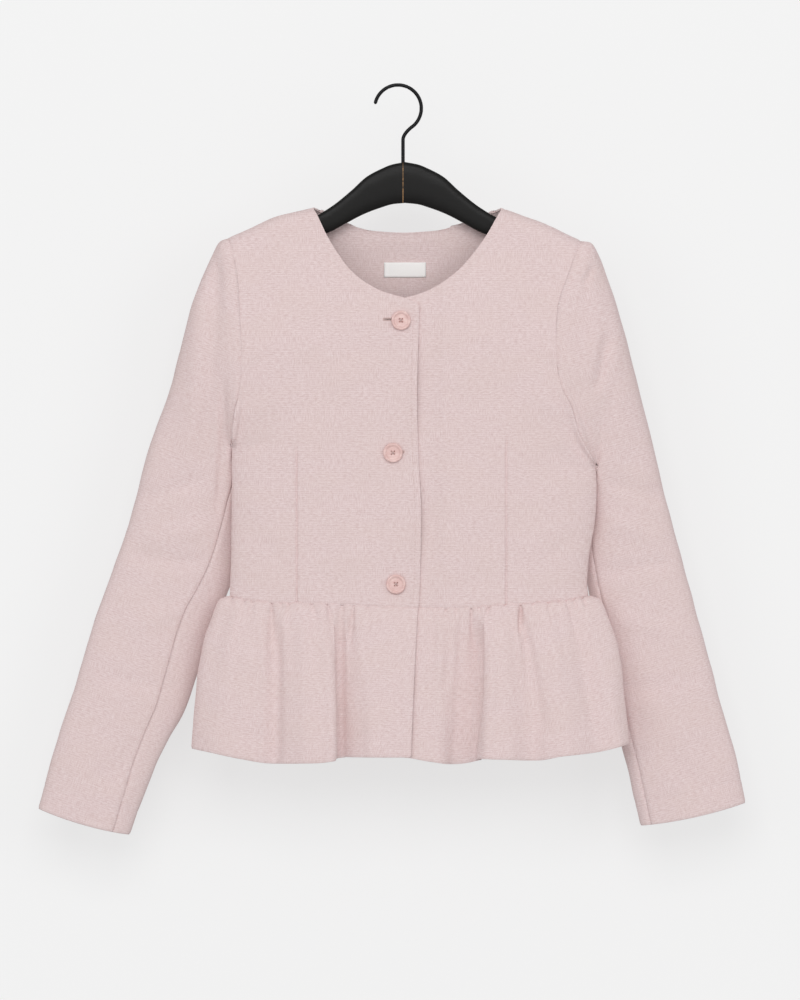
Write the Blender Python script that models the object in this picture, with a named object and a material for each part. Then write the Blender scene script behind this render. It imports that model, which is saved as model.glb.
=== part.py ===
"""A short collarless tweed jacket with a gathered peplum, hung on a wooden clothes hanger.

Units in the tables are millimetres, and the solids are metres, +Z up.  The origin is the
inside top of the hanger's hook.  The jacket's front faces -Y, and its wearer's right side
lies at -X.  Each cloth piece is a wall of even thickness between an outer surface and the
same surface moved in along its normals, and pieces stop a hair apart at their seams.
"""
import math

import bpy
import numpy as np
from mathutils import Vector

# Driving dimensions, in millimetres
MM = 0.001
WALL = 2.0                  # thickness of the doubled tweed
SEAM = 0.34                 # parting of two pieces along their seam
SQUARE_ENOUGH = 0.5         # sine of the least angle between a seam and its wall's normal
LAP_CLEAR = 0.6             # space between the lapped fronts
LAP_REACH = 46.0            # the under front steps back between these two places
LAP_FULL = 31.0
LAP_COLUMNS = (0.64, 0.766, 1.0)
CHEST_FRONT = 26.0          # how far the front stands out of the hanger's plane
CHEST_BACK = 20.0
SHOULDER_ROLL = 14.0        # half thickness of the cloth where it rolls over the hanger
ROLL_EASE = 150.0           # distance below the shoulder over which the chest fills out
SECTION_POWER = 2.5         # roundness of the body's section, 2 is an ellipse
ARMHOLE_FRONT = 24.0        # depth of the armhole in front of the hanger's plane
ARMHOLE_BACK = 18.0
ARMHOLE_POWER = 0.7         # roundness of the armhole's foot and top at its edge
ARMHOLE_FADE = 40.0         # distance over which the panel beside its foot grows smooth
ARMHOLE_SMOOTHING = 1.5     # what that adds to the power

# Counts of rows and columns in the cloth's grids
BODY_ROWS = 6               # waist seam to underarm
ARM_ROWS = 14               # underarm to shoulder
CORNER_ROW = BODY_ROWS + 8  # row that ends at the top corner of the front edge
PANEL_COLUMNS = 10          # side seam to centre front, and along each shoulder
NECK_COLUMNS = 8            # across the back of the neck
SLEEVE_ROWS = 13
INNER_POWER = 1.6           # the rings turn about the underarm before they move down it
PEPLUM_ROWS = 7
PEPLUM_ROW_POWER = 1.5      # the rows lie closer to the gathers
COLUMNS_PER_FOLD = 2        # from each row of the fold tables to the next
UNDER_FRONT = 2             # armhole steps from the underarm to the sleeve's front seam
UNDER_BACK = 4              # and to its back seam
# Grid points at the underarm, where front, back and sleeve meet and the walls turn up
UNDERARM_POINTS = {
    "front_right": ((BODY_ROWS, 0),),
    "front_left": ((BODY_ROWS, 0),),
    "back": ((BODY_ROWS, 0), (BODY_ROWS, -1)),
    "sleeve_under_right": ((0, UNDER_BACK),),
    "sleeve_under_left": ((0, UNDER_BACK),),
}

# Outline of the body's sides, waist to shoulder: height, x on the right side of the wearer
SIDE_RIGHT = (
    (-511.0, -170.5), (-496.0, -171.0), (-473.0, -170.0), (-383.0, -169.5), (-358.0, -169.0),
    (-333.0, -167.0), (-311.0, -163.3), (-286.0, -160.6), (-261.0, -160.4), (-228.0, -162.0),
    (-197.0, -163.8), (-166.0, -168.5), (-151.0, -172.0),
)
# The same on the left side of the wearer
SIDE_LEFT = (
    (-511.0, 187.5), (-496.0, 186.5), (-473.0, 188.0), (-457.0, 190.6), (-440.0, 193.4),
    (-407.0, 195.8), (-378.0, 194.5), (-361.0, 185.5), (-343.0, 177.0), (-333.0, 174.0),
    (-316.5, 168.3),
    (-301.0, 161.5), (-278.6, 157.2), (-253.0, 155.9), (-225.0, 157.0), (-208.0, 160.6),
    (-194.0, 165.8), (-165.0, 176.0), (-154.0, 180.0),
)
UNDERARM_RIGHT = -358.0
UNDERARM_LEFT = -378.0
# Shoulder seams from the armhole to the neck: x, height
SHOULDER_RIGHT = ((-172.0, -151.0), (-150.0, -141.0), (-122.0, -129.0), (-88.0, -120.5))
SHOULDER_LEFT = ((180.0, -154.0), (153.0, -141.0), (123.0, -129.0), (101.0, -121.0))
# Edge of the neck from the front edge's corner to the shoulder: x, height
NECK_RIGHT = (
    (18.5, -217.6), (2.8, -211.0), (-17.0, -205.4), (-38.0, -194.0), (-52.0, -181.6),
    (-64.5, -164.7), (-74.3, -148.0), (-84.0, -127.6), (-88.0, -120.5),
)
NECK_LEFT = (
    (-18.5, -217.6), (4.0, -211.2), (19.7, -206.8), (39.3, -197.0), (57.6, -183.0),
    (71.6, -167.5), (85.6, -148.0), (96.0, -129.7), (101.0, -121.0),
)
# Edge of the neck behind, from the right shoulder to the left one: x, height
NECK_BACK = (
    (-88.0, -120.5), (-81.5, -122.0), (-72.0, -128.5), (-52.0, -137.5), (-25.0, -143.5),
    (2.0, -145.0), (30.0, -143.5), (57.0, -138.0), (84.0, -128.5), (94.5, -122.5),
    (101.0, -121.0),
)
# Front edges from the waist seam up: height, x
EDGE_RIGHT = ((-522.0, 17.5), (-493.0, 19.0), (-430.0, 20.0), (-358.0, 17.0), (-313.0, 16.0),
              (-217.6, 18.5))
EDGE_LEFT = ((-522.0, -18.5), (-217.6, -18.5))
# Waist seam: x, height
WAIST = (
    (-170.5, -511.0), (-155.0, -514.0), (-131.0, -516.5), (-71.0, -517.5), (-30.0, -520.0),
    (11.0, -522.0), (62.0, -521.5), (108.0, -519.0), (139.0, -517.0), (165.0, -514.5),
    (187.5, -511.0),
)

# Sleeves from the shoulder or underarm to the cuff: x, height
OUTER_RIGHT = (
    (-172.0, -151.0), (-181.0, -154.5), (-189.0, -169.0), (-209.0, -217.0), (-231.0, -301.0),
    (-251.0, -357.0), (-274.0, -441.0), (-305.0, -527.0), (-330.0, -609.0), (-348.0, -665.0),
    (-363.0, -722.0),
)
INNER_RIGHT = (
    (-169.0, -358.0), (-171.0, -365.0), (-170.5, -380.0), (-167.0, -405.0), (-166.0, -430.0),
    (-167.0, -465.0), (-173.0, -490.0), (-182.0, -510.0), (-194.5, -538.0), (-204.5, -584.0),
    (-216.5, -623.0), (-232.0, -651.0), (-247.0, -681.0), (-258.0, -710.0), (-272.0, -748.0),
)
OUTER_LEFT = (
    (180.0, -154.0), (189.0, -155.5), (198.0, -169.0), (215.0, -217.0), (238.0, -301.0),
    (252.0, -357.0), (273.0, -441.0), (296.0, -525.0), (318.0, -609.0), (334.0, -665.0),
    (345.0, -716.0),
)
INNER_LEFT = (
    (194.5, -378.0), (200.2, -383.0), (200.6, -391.0), (197.0, -405.0), (190.0, -435.0),
    (186.0, -470.0), (187.5, -500.0), (191.0, -520.0), (195.0, -540.0), (201.0, -568.0),
    (206.0, -595.0),
    (212.0, -623.0), (219.0, -653.0), (226.0, -678.0), (240.0, -739.0),
)
# Along a sleeve: share of its length, middle plane, front depth, back depth
SLEEVE_DEPTH = (
    (0.0, 0.0, ARMHOLE_FRONT, ARMHOLE_BACK), (0.15, 5.0, 23.0, 17.0), (0.38, 15.0, 20.0, 15.0),
    (0.6, 18.0, 18.0, 14.0), (0.8, 16.0, 17.0, 14.0), (1.0, 13.0, 16.0, 14.0),
)
# The inner edge of a sleeve lies behind the body's side: share of its length, how far
INNER_TUCK = ((0.0, 0.0), (0.08, 6.0), (0.16, 11.0), (0.3, 12.0), (0.6, 6.0), (1.0, 0.0))
CAP_SHARE = 0.18            # length over which the armhole's curve eases out of the sleeve
CUFF_SAG = 3.0              # how far the middle of a cuff hangs below its corners
# Angles of the sleeve's seams in degrees from its inner edge, along its length
SEAM_RIGHT = ((0.0, 0.0), (0.15, 16.0), (0.35, 46.0), (0.65, 63.0), (1.0, 50.0))
SEAM_LEFT = ((0.0, 0.0), (0.15, 14.0), (0.35, 34.0), (0.65, 40.0), (1.0, 36.0))
SEAM_BEHIND = ((0.0, 0.0), (0.3, 70.0), (1.0, 80.0))
SEAM_SETTLES = 0.3          # share of the length over which a seam leaves the armhole's point

# Peplum: outlines of its sides as share of its drop, share of its flare
SIDE_FLARE = ((0.0, 0.0), (0.03, 0.29), (0.16, 0.5), (0.3, 0.68), (0.5, 0.82), (0.7, 0.9),
              (1.0, 1.0))
FRONT_FLARE_POWER = 0.8
SIDE_REACH = 30.0           # distance from the side seam over which the side's flare fades
HEM_FRONT = 30.0            # depth of the hem's section before and behind its middle
HEM_BACK = 38.0
HEM_MIDDLE_RIGHT = -8.0     # the side seams swing forward at the hem, clear of the sleeves
HEM_MIDDLE_LEFT = -26.0
WAIST_FRONT_DEPTH = 25.0
WAIST_BACK_DEPTH = 20.0
FLARE_POWER = 0.5           # how soon below the seam the peplum stands out
SWING_POWER = 0.7           # how soon its side seams swing forward
FOLD_POWER = 0.7            # and its folds grow
WAIST_PARTING = 0.5         # the peplum hangs this far below the body's edge
GATHER_PEAK = 0.14          # share of the drop at which the gathers are deepest
HEM = (
    (-210.0, -661.0), (-189.0, -665.0), (-160.0, -671.0), (-129.0, -675.5), (-90.0, -675.0),
    (-68.0, -673.0), (-57.0, -669.0), (0.0, -669.0), (27.0, -673.0), (53.0, -676.0),
    (75.0, -670.5), (135.0, -672.0), (160.0, -668.0), (195.0, -664.0), (228.0, -656.0),
)
# Rows of folds: x at the waist, x at the hem, depth of the gather, depth of the fold.
# A positive depth is a crest towards the viewer.
FOLDS_FRONT_RIGHT = (
    (-170.5, -210.0, 0.0, 0.0), (-167.5, -206.5, 0.8, 0.5), (-161.0, -199.0, -1.4, 1.0),
    (-155.0, -186.0, 1.6, 3.0), (-149.0, -172.0, -1.6, 3.0), (-138.0, -152.0, 1.6, -1.0),
    (-129.0, -132.0, -2.0, -5.0), (-120.0, -114.0, 1.4, 0.0), (-112.0, -101.0, -1.8, 4.0),
    (-100.0, -88.0, 1.5, 6.5), (-89.0, -78.0, -1.8, 8.0), (-79.0, -69.5, 1.8, 8.0),
    (-71.0, -64.5, -2.0, 3.0), (-66.0, -64.5, 1.5, -5.0), (-60.0, -61.0, -2.2, -12.0),
    (-55.0, -55.0, 1.5, -9.0), (-51.0, -47.0, -2.0, -5.0), (-44.0, -39.0, 1.5, -2.0),
    (-36.0, -31.0, -1.2, 1.5), (-25.0, -22.0, 0.8, 2.0), (0.0, -4.0, 0.0, 0.5),
    (17.5, 10.0, 0.0, 0.0),
)
FOLDS_FRONT_LEFT = (
    (-18.5, -24.0, 0.0, -2.0), (-4.0, -9.0, 0.0, -2.0), (12.0, 6.0, 0.0, -2.0),
    (24.0, 19.0, 0.8, 0.0), (30.0, 27.0, -1.2, 0.0), (38.0, 36.0, 1.4, -1.0),
    (46.0, 43.0, -1.8, -5.0), (54.0, 49.0, 1.4, -10.0), (61.0, 55.0, -1.8, -13.0),
    (68.0, 64.0, 1.0, -10.0), (74.0, 75.0, -1.6, -2.0), (81.0, 86.0, 1.6, 4.0),
    (88.0, 96.0, -1.6, 6.0), (98.0, 108.0, 1.8, 4.0), (108.0, 119.0, -1.4, 0.0),
    (112.0, 127.0, 2.0, -3.0), (117.0, 135.0, -2.4, -4.0), (124.0, 146.0, 2.0, 1.0),
    (134.0, 157.0, -1.6, 4.0), (142.0, 167.0, 1.6, 5.0), (149.0, 177.0, -1.8, 3.0),
    (156.0, 188.0, 1.6, -1.0), (164.0, 199.0, -2.0, -3.0), (172.0, 209.0, 1.6, 0.0),
    (179.0, 218.0, -1.6, 2.0), (185.0, 225.5, 0.6, 0.5), (187.5, 228.0, 0.0, 0.0),
)
BACK_GATHERS = 13           # evenly spaced behind, where the folds rise and fall in turn
BACK_GATHER_DEPTH = 1.6
BACK_FOLD_DEPTH = 4.5
BACK_FOLDS = 5
BACK_FADE = 1.0 / 6.0       # share of the back over which they die away to its side seams

# Buttons: x, height
BUTTONS = {
    "button_top": (0.0, -234.0),
    "button_middle": (-8.0, -366.0),
    "button_bottom": (-5.0, -497.0),
}
BUTTON_RADIUS = 9.7
BUTTON_SEAT = 0.3           # space between the button's back and the cloth
# Half section of a button: distance from its middle, height above its back
BUTTON_PROFILE = ((0.0, 0.0), (6.8, 0.0), (9.1, 0.9), (9.7, 1.9), (9.2, 2.9), (8.2, 3.2),
                  (7.2, 2.7), (6.2, 1.9), (0.0, 1.9))
BUTTON_SIDES = 20
HOLE_RADIUS = 0.8
HOLE_SPREAD = 1.9           # distance of each hole from the button's middle
HOLE_SIDES = 6
BUTTON_FOOTING = 0.8        # share of its radius at which a button finds the cloth behind it
CUTTER_REACH = 4.0

# Neck label: width, height, thickness, its middle
LABEL_WIDTH = 42.0
LABEL_HEIGHT = 15.0
LABEL_THICK = 0.7
LABEL_MIDDLE = (4.0, -182.5)
LABEL_CLEAR = 0.3
LABEL_COLUMNS = 6
LABEL_ROWS = 2
PROBE_START = 200.0         # well in front of the jacket

# Hanger: thickness of the wood, and its edges as distance from its middle, height
HANGER_MIDDLE = 4.0
HANGER_THICK = 12.0
ARM_THINNING = 3.5          # the arms are thinner than the middle by this much
THINNING_FROM = 95.0        # distance from the middle where that starts, and its length
THINNING_OVER = 55.0
END_CLOSING = 0.35          # share by which the sections close up towards the arms' ends
END_ROUNDING = 7.0          # length over which an arm's end is rounded off
END_LEAST = 0.02            # share of the rounding left at the very end
SEAT_SLANT = 1.07           # height of the cloth's wall over its thickness on the slope
HANGER_REACH = 167.0
HANGER_TOP = (
    (0.0, -75.0), (13.0, -77.5), (23.0, -81.5), (38.0, -89.5), (53.0, -103.0), (70.0, -117.0),
    (82.0, -125.0), (91.0, -130.0), (104.0, -134.5), (120.0, -138.0), (145.0, -142.0),
    (167.0, -148.0),
)
HANGER_FOOT = (
    (0.0, -116.0), (12.0, -117.2), (25.0, -121.0), (36.0, -125.0), (45.0, -129.0),
    (60.0, -137.0), (75.0, -145.0), (95.0, -152.0), (120.0, -157.5), (145.0, -161.0),
    (167.0, -162.5),
)
HANGER_STEPS = 40
HANGER_SIDES = 12
HANGER_SECTION_POWER = 4.0  # a rounded rectangle
ARM_SEAT = 1.3              # space between the arm's top and the shoulder it carries
SEAT_FROM = 128.0           # distance from the middle where the arm starts to rise to it
SEAT_FULL = 152.0

# Hook: bent wire
WIRE_RADIUS = 1.8
WIRE_SIDES = 8
HOOK_INNER_RADIUS = 21.5
HOOK_MIDDLE_X = -3.0
HOOK_TIP_ANGLE = 170.0
HOOK_END_ANGLE = -47.0
HOOK_STEPS = 26
SHANK_X = 2.0
BEND_TOP = -42.0
BEND_FOOT = -53.0
BEND_LEAD = 4.5             # how far above its top the bend's corner lies
BEND_STEPS = 7
SHANK_RING = -64.0
SHANK_FOOT = -93.0
SOCKET_CLEAR = 0.35
SOCKET_SIDES = 16
SOCKET_CUTTER = 20.0        # half length of the tool that bores the socket

SHARP_ANGLE = 50.0          # edges that turn by more than this many degrees stay sharp


def clear_scene():
    """Remove every object that the file starts with."""
    for thing in list(bpy.data.objects):
        bpy.data.objects.remove(thing)


def material(name, colour, roughness, metallic=0.0):
    """A plain surface with a base colour, roughness and metallic value."""
    made = bpy.data.materials.new(name)
    made.use_nodes = True
    shader = made.node_tree.nodes["Principled BSDF"]
    shader.inputs["Base Color"].default_value = (*colour, 1.0)
    shader.inputs["Roughness"].default_value = roughness
    shader.inputs["Metallic"].default_value = metallic
    made.diffuse_color = (*colour, 1.0)
    return made


# Curves through the tables

def smooth(table, at):
    """Cubic through a table's (position, value) rows, with no overshoot between them."""
    rows = np.array(sorted(table), float)
    x, y = rows[:, 0], rows[:, 1]
    step = np.diff(x)
    slope = np.diff(y) / step
    tangent = np.empty_like(y)
    tangent[0], tangent[-1] = slope[0], slope[-1]
    product = slope[:-1] * slope[1:]
    total = slope[:-1] + slope[1:]
    safe = np.where(np.abs(total) > 1e-9, total, 1.0)
    tangent[1:-1] = np.where(product > 0.0, 2.0 * product / safe, 0.0)
    place = np.clip(at, x[0], x[-1])
    k = np.clip(np.searchsorted(x, place, side="right") - 1, 0, len(x) - 2)
    t = (place - x[k]) / step[k]
    return ((2 * t**3 - 3 * t**2 + 1) * y[k] + (t**3 - 2 * t**2 + t) * step[k] * tangent[k]
            + (3 * t**2 - 2 * t**3) * y[k + 1] + (t**3 - t**2) * step[k] * tangent[k + 1])


def along(path, share):
    """Points of a path of (x, height) rows at the given shares of its length."""
    rows = np.array(path, float)
    run = np.concatenate(([0.0], np.cumsum(np.hypot(*np.diff(rows, axis=0).T))))
    at = np.asarray(share, float) * run[-1]
    return np.stack([smooth(list(zip(run, rows[:, 0])), at),
                     smooth(list(zip(run, rows[:, 1])), at)], axis=-1)


def wave(values, at):
    """Smooth wave through evenly spaced values, read at fractional places."""
    y = np.asarray(values, float)
    k = np.clip(np.floor(at).astype(int), 0, len(y) - 2)
    t = at - k
    before = y[np.maximum(k - 1, 0)]
    after = y[np.minimum(k + 2, len(y) - 1)]
    here, there = y[k], y[k + 1]
    return 0.5 * (2 * here + (there - before) * t
                  + (2 * before - 5 * here + 4 * there - after) * t**2
                  + (3 * here - before - 3 * there + after) * t**3)


def ease(t):
    """Smooth step from 0 to 1."""
    t = np.clip(t, 0.0, 1.0)
    return t * t * (3.0 - 2.0 * t)


def section(distance, half_width):
    """Share of full depth at a distance from the side of a rounded section."""
    inward = 1.0 - np.clip(distance / half_width, 0.0, 1.0)
    return (1.0 - inward**SECTION_POWER) ** (1.0 / SECTION_POWER)


# The body's shape

def ridge(x):
    """Height of the line that the shoulders make over the hanger, carried on over the neck."""
    right = np.array(SHOULDER_RIGHT)
    left = np.array(SHOULDER_LEFT)
    rise_right = (right[3, 1] - right[0, 1]) / (right[3, 0] - right[0, 0])
    rise_left = (left[3, 1] - left[0, 1]) / (left[3, 0] - left[0, 0])
    over_right = right[3, 1] + rise_right * (x - right[3, 0])
    over_left = left[3, 1] + rise_left * (x - left[3, 0])
    height = np.minimum(over_right, over_left)
    height = np.where(x < right[3, 0], smooth(SHOULDER_RIGHT, x), height)
    return np.where(x > left[3, 0], smooth(SHOULDER_LEFT, x), height)


def depth_below(drop, full):
    """Depth of the cloth at a drop below the ridge: a round roll, then a slow filling out."""
    roll = 1.0 - np.clip(drop / SHOULDER_ROLL, 0.0, 1.0)
    round_part = SHOULDER_ROLL * np.sqrt(np.maximum(1.0 - roll * roll, 0.0))
    return round_part + (full - SHOULDER_ROLL) * ease(drop / ROLL_EASE)


def side_column(side, underarm):
    """Rows of (x, height) up a side seam and its armhole, and the armhole's roundness."""
    foot, top = side[0][0], side[-1][0]
    low = np.linspace(foot, underarm, BODY_ROWS + 1)[:-1]
    turn = np.pi * np.arange(ARM_ROWS + 1) / ARM_ROWS
    arm = underarm + (top - underarm) * (1.0 - np.cos(turn)) / 2.0
    height = np.concatenate((low, arm))
    round_share = np.concatenate((np.zeros(BODY_ROWS), np.maximum(np.sin(turn), 0.0)))
    return np.stack([smooth(side, height), height], axis=-1), round_share


def armhole_share(round_share, inward):
    """Share of the armhole's depth that a panel keeps at a distance inward from it.

    Beside the armhole's lower half the panel grows smooth, and its upper half stays round.
    """
    lower = np.arange(len(round_share)) < BODY_ROWS + ARM_ROWS // 2
    power = ARMHOLE_POWER + ARMHOLE_SMOOTHING * ease(inward / ARMHOLE_FADE) * lower[:, None]
    return np.where(round_share > 0.0, np.maximum(round_share, 1e-9) ** power, 0.0)


def patch(first, last, foot, top):
    """Flat patch between two columns and two rows, blended from all four."""
    rise = (first[:, 1] - first[0, 1]) / (first[-1, 1] - first[0, 1])
    rise = rise[:, None, None]
    reach = (foot[:, 0] - foot[0, 0]) / (foot[-1, 0] - foot[0, 0])
    reach = reach[None, :, None]
    plain = first[:, None] * (1.0 - reach) + last[:, None] * reach
    foot_bow = foot[None] - (foot[0] * (1.0 - reach[0]) + foot[-1] * reach[0])[None]
    top_bow = top[None] - (top[0] * (1.0 - reach[0]) + top[-1] * reach[0])[None]
    return plain + (1.0 - rise) * foot_bow + rise * top_bow


def column_spread(lapped):
    """Shares of a front's width at its columns, closest where it rounds off to the side.

    The under front has its last columns on both sides of the step beside the lap.
    """
    last = PANEL_COLUMNS - 2 if lapped else PANEL_COLUMNS
    spread = 1.0 - np.cos(0.5 * np.pi * np.arange(last + 1) / last)
    return np.concatenate((spread * LAP_COLUMNS[0], LAP_COLUMNS[1:])) if lapped else spread


def shoulder_row(shoulder, spread):
    """Points of a shoulder seam from the armhole to the neck."""
    x = shoulder[0][0] + (shoulder[-1][0] - shoulder[0][0]) * spread
    return np.stack([x, smooth(shoulder, x)], axis=-1)


def front_panel(side, underarm, shoulder, neck, edge, lapped):
    """Outer grid of one front: rows up from the waist, columns from the side seam."""
    outer, armhole = side_column(side, underarm)
    spread = column_spread(lapped)
    corner = neck[0][1]
    waist_height = smooth(WAIST, edge[0][1])
    level = (outer[:CORNER_ROW + 1, 1] - outer[0, 1]) / (outer[CORNER_ROW, 1] - outer[0, 1])
    height = waist_height + (corner - waist_height) * level
    straight = np.stack([smooth(edge, height), height], axis=-1)
    steps = BODY_ROWS + ARM_ROWS - CORNER_ROW
    curve = along(neck, np.sin(0.5 * np.pi * np.arange(1, steps + 1) / steps))
    centre = np.concatenate((straight, curve))
    foot_x = outer[0, 0] + (centre[0, 0] - outer[0, 0]) * spread
    foot = np.stack([foot_x, smooth(WAIST, foot_x)], axis=-1)
    flat = patch(outer, centre, foot, shoulder_row(shoulder, spread))
    x, z = flat[..., 0], flat[..., 1]
    half_width = np.abs(outer[:, :1] - HANGER_MIDDLE)
    full = -depth_below(ridge(x) - z, CHEST_FRONT)
    inward = np.abs(x - outer[:, :1])
    start = -ARMHOLE_FRONT * armhole_share(armhole[:, None], inward)
    y = start + (full - start) * section(inward, half_width)
    y[-1] = 0.0
    if lapped:
        y = y + lap_depth(x)
    return np.stack([x, y, z], axis=-1)


def lap_depth(x):
    """How far the under front lies behind the upper one, where the two lap."""
    return (WALL + LAP_CLEAR) * ease((LAP_REACH - x) / (LAP_REACH - LAP_FULL))


def back_panel():
    """Outer grid of the back: rows up from the waist, columns from right to left side."""
    right, arm_right = side_column(SIDE_RIGHT, UNDERARM_RIGHT)
    left, arm_left = side_column(SIDE_LEFT, UNDERARM_LEFT)
    neck_turn = np.pi * np.arange(1, NECK_COLUMNS) / NECK_COLUMNS
    neck = along(NECK_BACK, (1.0 - np.cos(neck_turn)) / 2.0)
    top = np.concatenate((shoulder_row(SHOULDER_RIGHT, column_spread(False)), neck,
                          shoulder_row(SHOULDER_LEFT, column_spread(True))[::-1]))
    reach = (top[:, 0] - top[0, 0]) / (top[-1, 0] - top[0, 0])
    foot_x = right[0, 0] + (left[0, 0] - right[0, 0]) * reach
    foot = np.stack([foot_x, smooth(WAIST, foot_x)], axis=-1)
    flat = patch(right, left, foot, top)
    x, z = flat[..., 0], flat[..., 1]
    half_width = 0.5 * (left[:, :1] - right[:, :1])
    full = depth_below(ridge(x) - z, CHEST_BACK)
    near_right = np.abs(x - right[:, :1])
    near_left = np.abs(x - left[:, :1])
    inward = np.minimum(near_right, near_left)
    armhole = np.where(near_right < near_left, arm_right[:, None], arm_left[:, None])
    start = ARMHOLE_BACK * armhole_share(armhole, inward)
    y = start + (full - start) * section(inward, half_width)
    y[-1, :PANEL_COLUMNS + 1] = 0.0
    y[-1, -PANEL_COLUMNS - 1:] = 0.0
    return np.stack([x, y, z], axis=-1)


# Sleeves

def sleeve_rings(side, underarm, outer, inner):
    """Rings down a sleeve from the armhole: front half first, then the back half.

    A ring lies across the sleeve between its inner and outer edge, and swells to the
    front and back with the sine of its angle.  The first ring is the armhole itself.
    """
    column, _ = side_column(side, underarm)
    hole = column[BODY_ROWS:]
    share = np.arange(SLEEVE_ROWS + 1) / SLEEVE_ROWS
    start, end = along(inner, share**INNER_POWER), along(outer, share)
    angle = np.pi * np.arange(ARM_ROWS + 1) / ARM_ROWS
    return share, start, end, hole, angle


def sleeve_surface(rings, share_grid, angle_grid, hole_grid):
    """Points of a sleeve at shares of its length and angles from its inner edge."""
    share, start, end, hole, _ = rings
    inner_x = np.interp(share_grid, share, start[:, 0])
    inner_z = np.interp(share_grid, share, start[:, 1])
    outer_x = np.interp(share_grid, share, end[:, 0])
    outer_z = np.interp(share_grid, share, end[:, 1])
    across = (1.0 - np.cos(angle_grid)) / 2.0
    x = inner_x + (outer_x - inner_x) * across
    z = inner_z + (outer_z - inner_z) * across
    straight_x = hole[0, 0] + (hole[-1, 0] - hole[0, 0]) * across
    fade = np.clip(1.0 - share_grid / CAP_SHARE, 0.0, 1.0) ** 2
    x = x + (hole_grid - straight_x) * fade
    z = z - CUFF_SAG * np.sin(angle_grid) ** 2 * share_grid**4
    round_share = np.abs(np.sin(angle_grid)) ** ARMHOLE_POWER
    rows = np.array(SLEEVE_DEPTH)
    middle = smooth(rows[:, (0, 1)].tolist(), share_grid)
    front = smooth(rows[:, (0, 2)].tolist(), share_grid)
    back = smooth(rows[:, (0, 3)].tolist(), share_grid)
    swell = np.where(np.sin(angle_grid) >= 0.0, -front, back) * round_share
    tuck = smooth(INNER_TUCK, share_grid) * (1.0 - across) ** 2
    return np.stack([x, middle + swell + tuck, z], axis=-1)


def sleeve_pieces(side, underarm, outer, inner, seam_front):
    """Outer grids of a sleeve's top and under piece, rows down from the armhole."""
    rings = sleeve_rings(side, underarm, outer, inner)
    share = rings[0]
    step = np.pi / ARM_ROWS
    turned = np.radians(smooth(seam_front, share))
    settled = ease(share / SEAM_SETTLES)
    front = UNDER_FRONT * step * (1.0 - settled) + turned
    behind = UNDER_BACK * step * (1.0 - settled) + np.radians(smooth(SEAM_BEHIND, share))
    top_angles = np.arange(UNDER_FRONT, 2 * ARM_ROWS - UNDER_BACK + 1) * step
    under_angles = np.arange(-UNDER_BACK, UNDER_FRONT + 1) * step
    pieces = []
    for angles, first, last in ((top_angles, front, 2 * np.pi - behind),
                                (under_angles, -behind, front)):
        place = (angles - angles[0]) / (angles[-1] - angles[0])
        spread = first[:, None] + (last - first)[:, None] * place[None]
        angle_grid = (angles[None] * (1.0 - settled[:, None])
                      + spread * settled[:, None])
        share_grid = np.broadcast_to(share[:, None], angle_grid.shape)
        folded = np.abs((angle_grid + np.pi) % (2 * np.pi) - np.pi)
        hole_x = np.interp(folded, rings[4], rings[3][:, 0])
        pieces.append(sleeve_surface(rings, share_grid, angle_grid, hole_x))
    return pieces


# Peplum

def back_folds():
    """Rows of folds behind: even gathers, and fewer, broader folds at the hem."""
    steps = 2 * BACK_GATHERS
    rows = []
    for k in range(steps + 1):
        share = k / steps
        fade = min(1.0, share / BACK_FADE, (1.0 - share) / BACK_FADE)
        waist_x = WAIST[-1][0] + (WAIST[0][0] - WAIST[-1][0]) * share
        hem_x = HEM[-1][0] + (HEM[0][0] - HEM[-1][0]) * share
        gather = BACK_GATHER_DEPTH * (1 if k % 2 else -1) * fade
        fold = BACK_FOLD_DEPTH * math.sin(2 * math.pi * BACK_FOLDS * share) * fade
        rows.append((waist_x, hem_x, gather, fold))
    return rows


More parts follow.
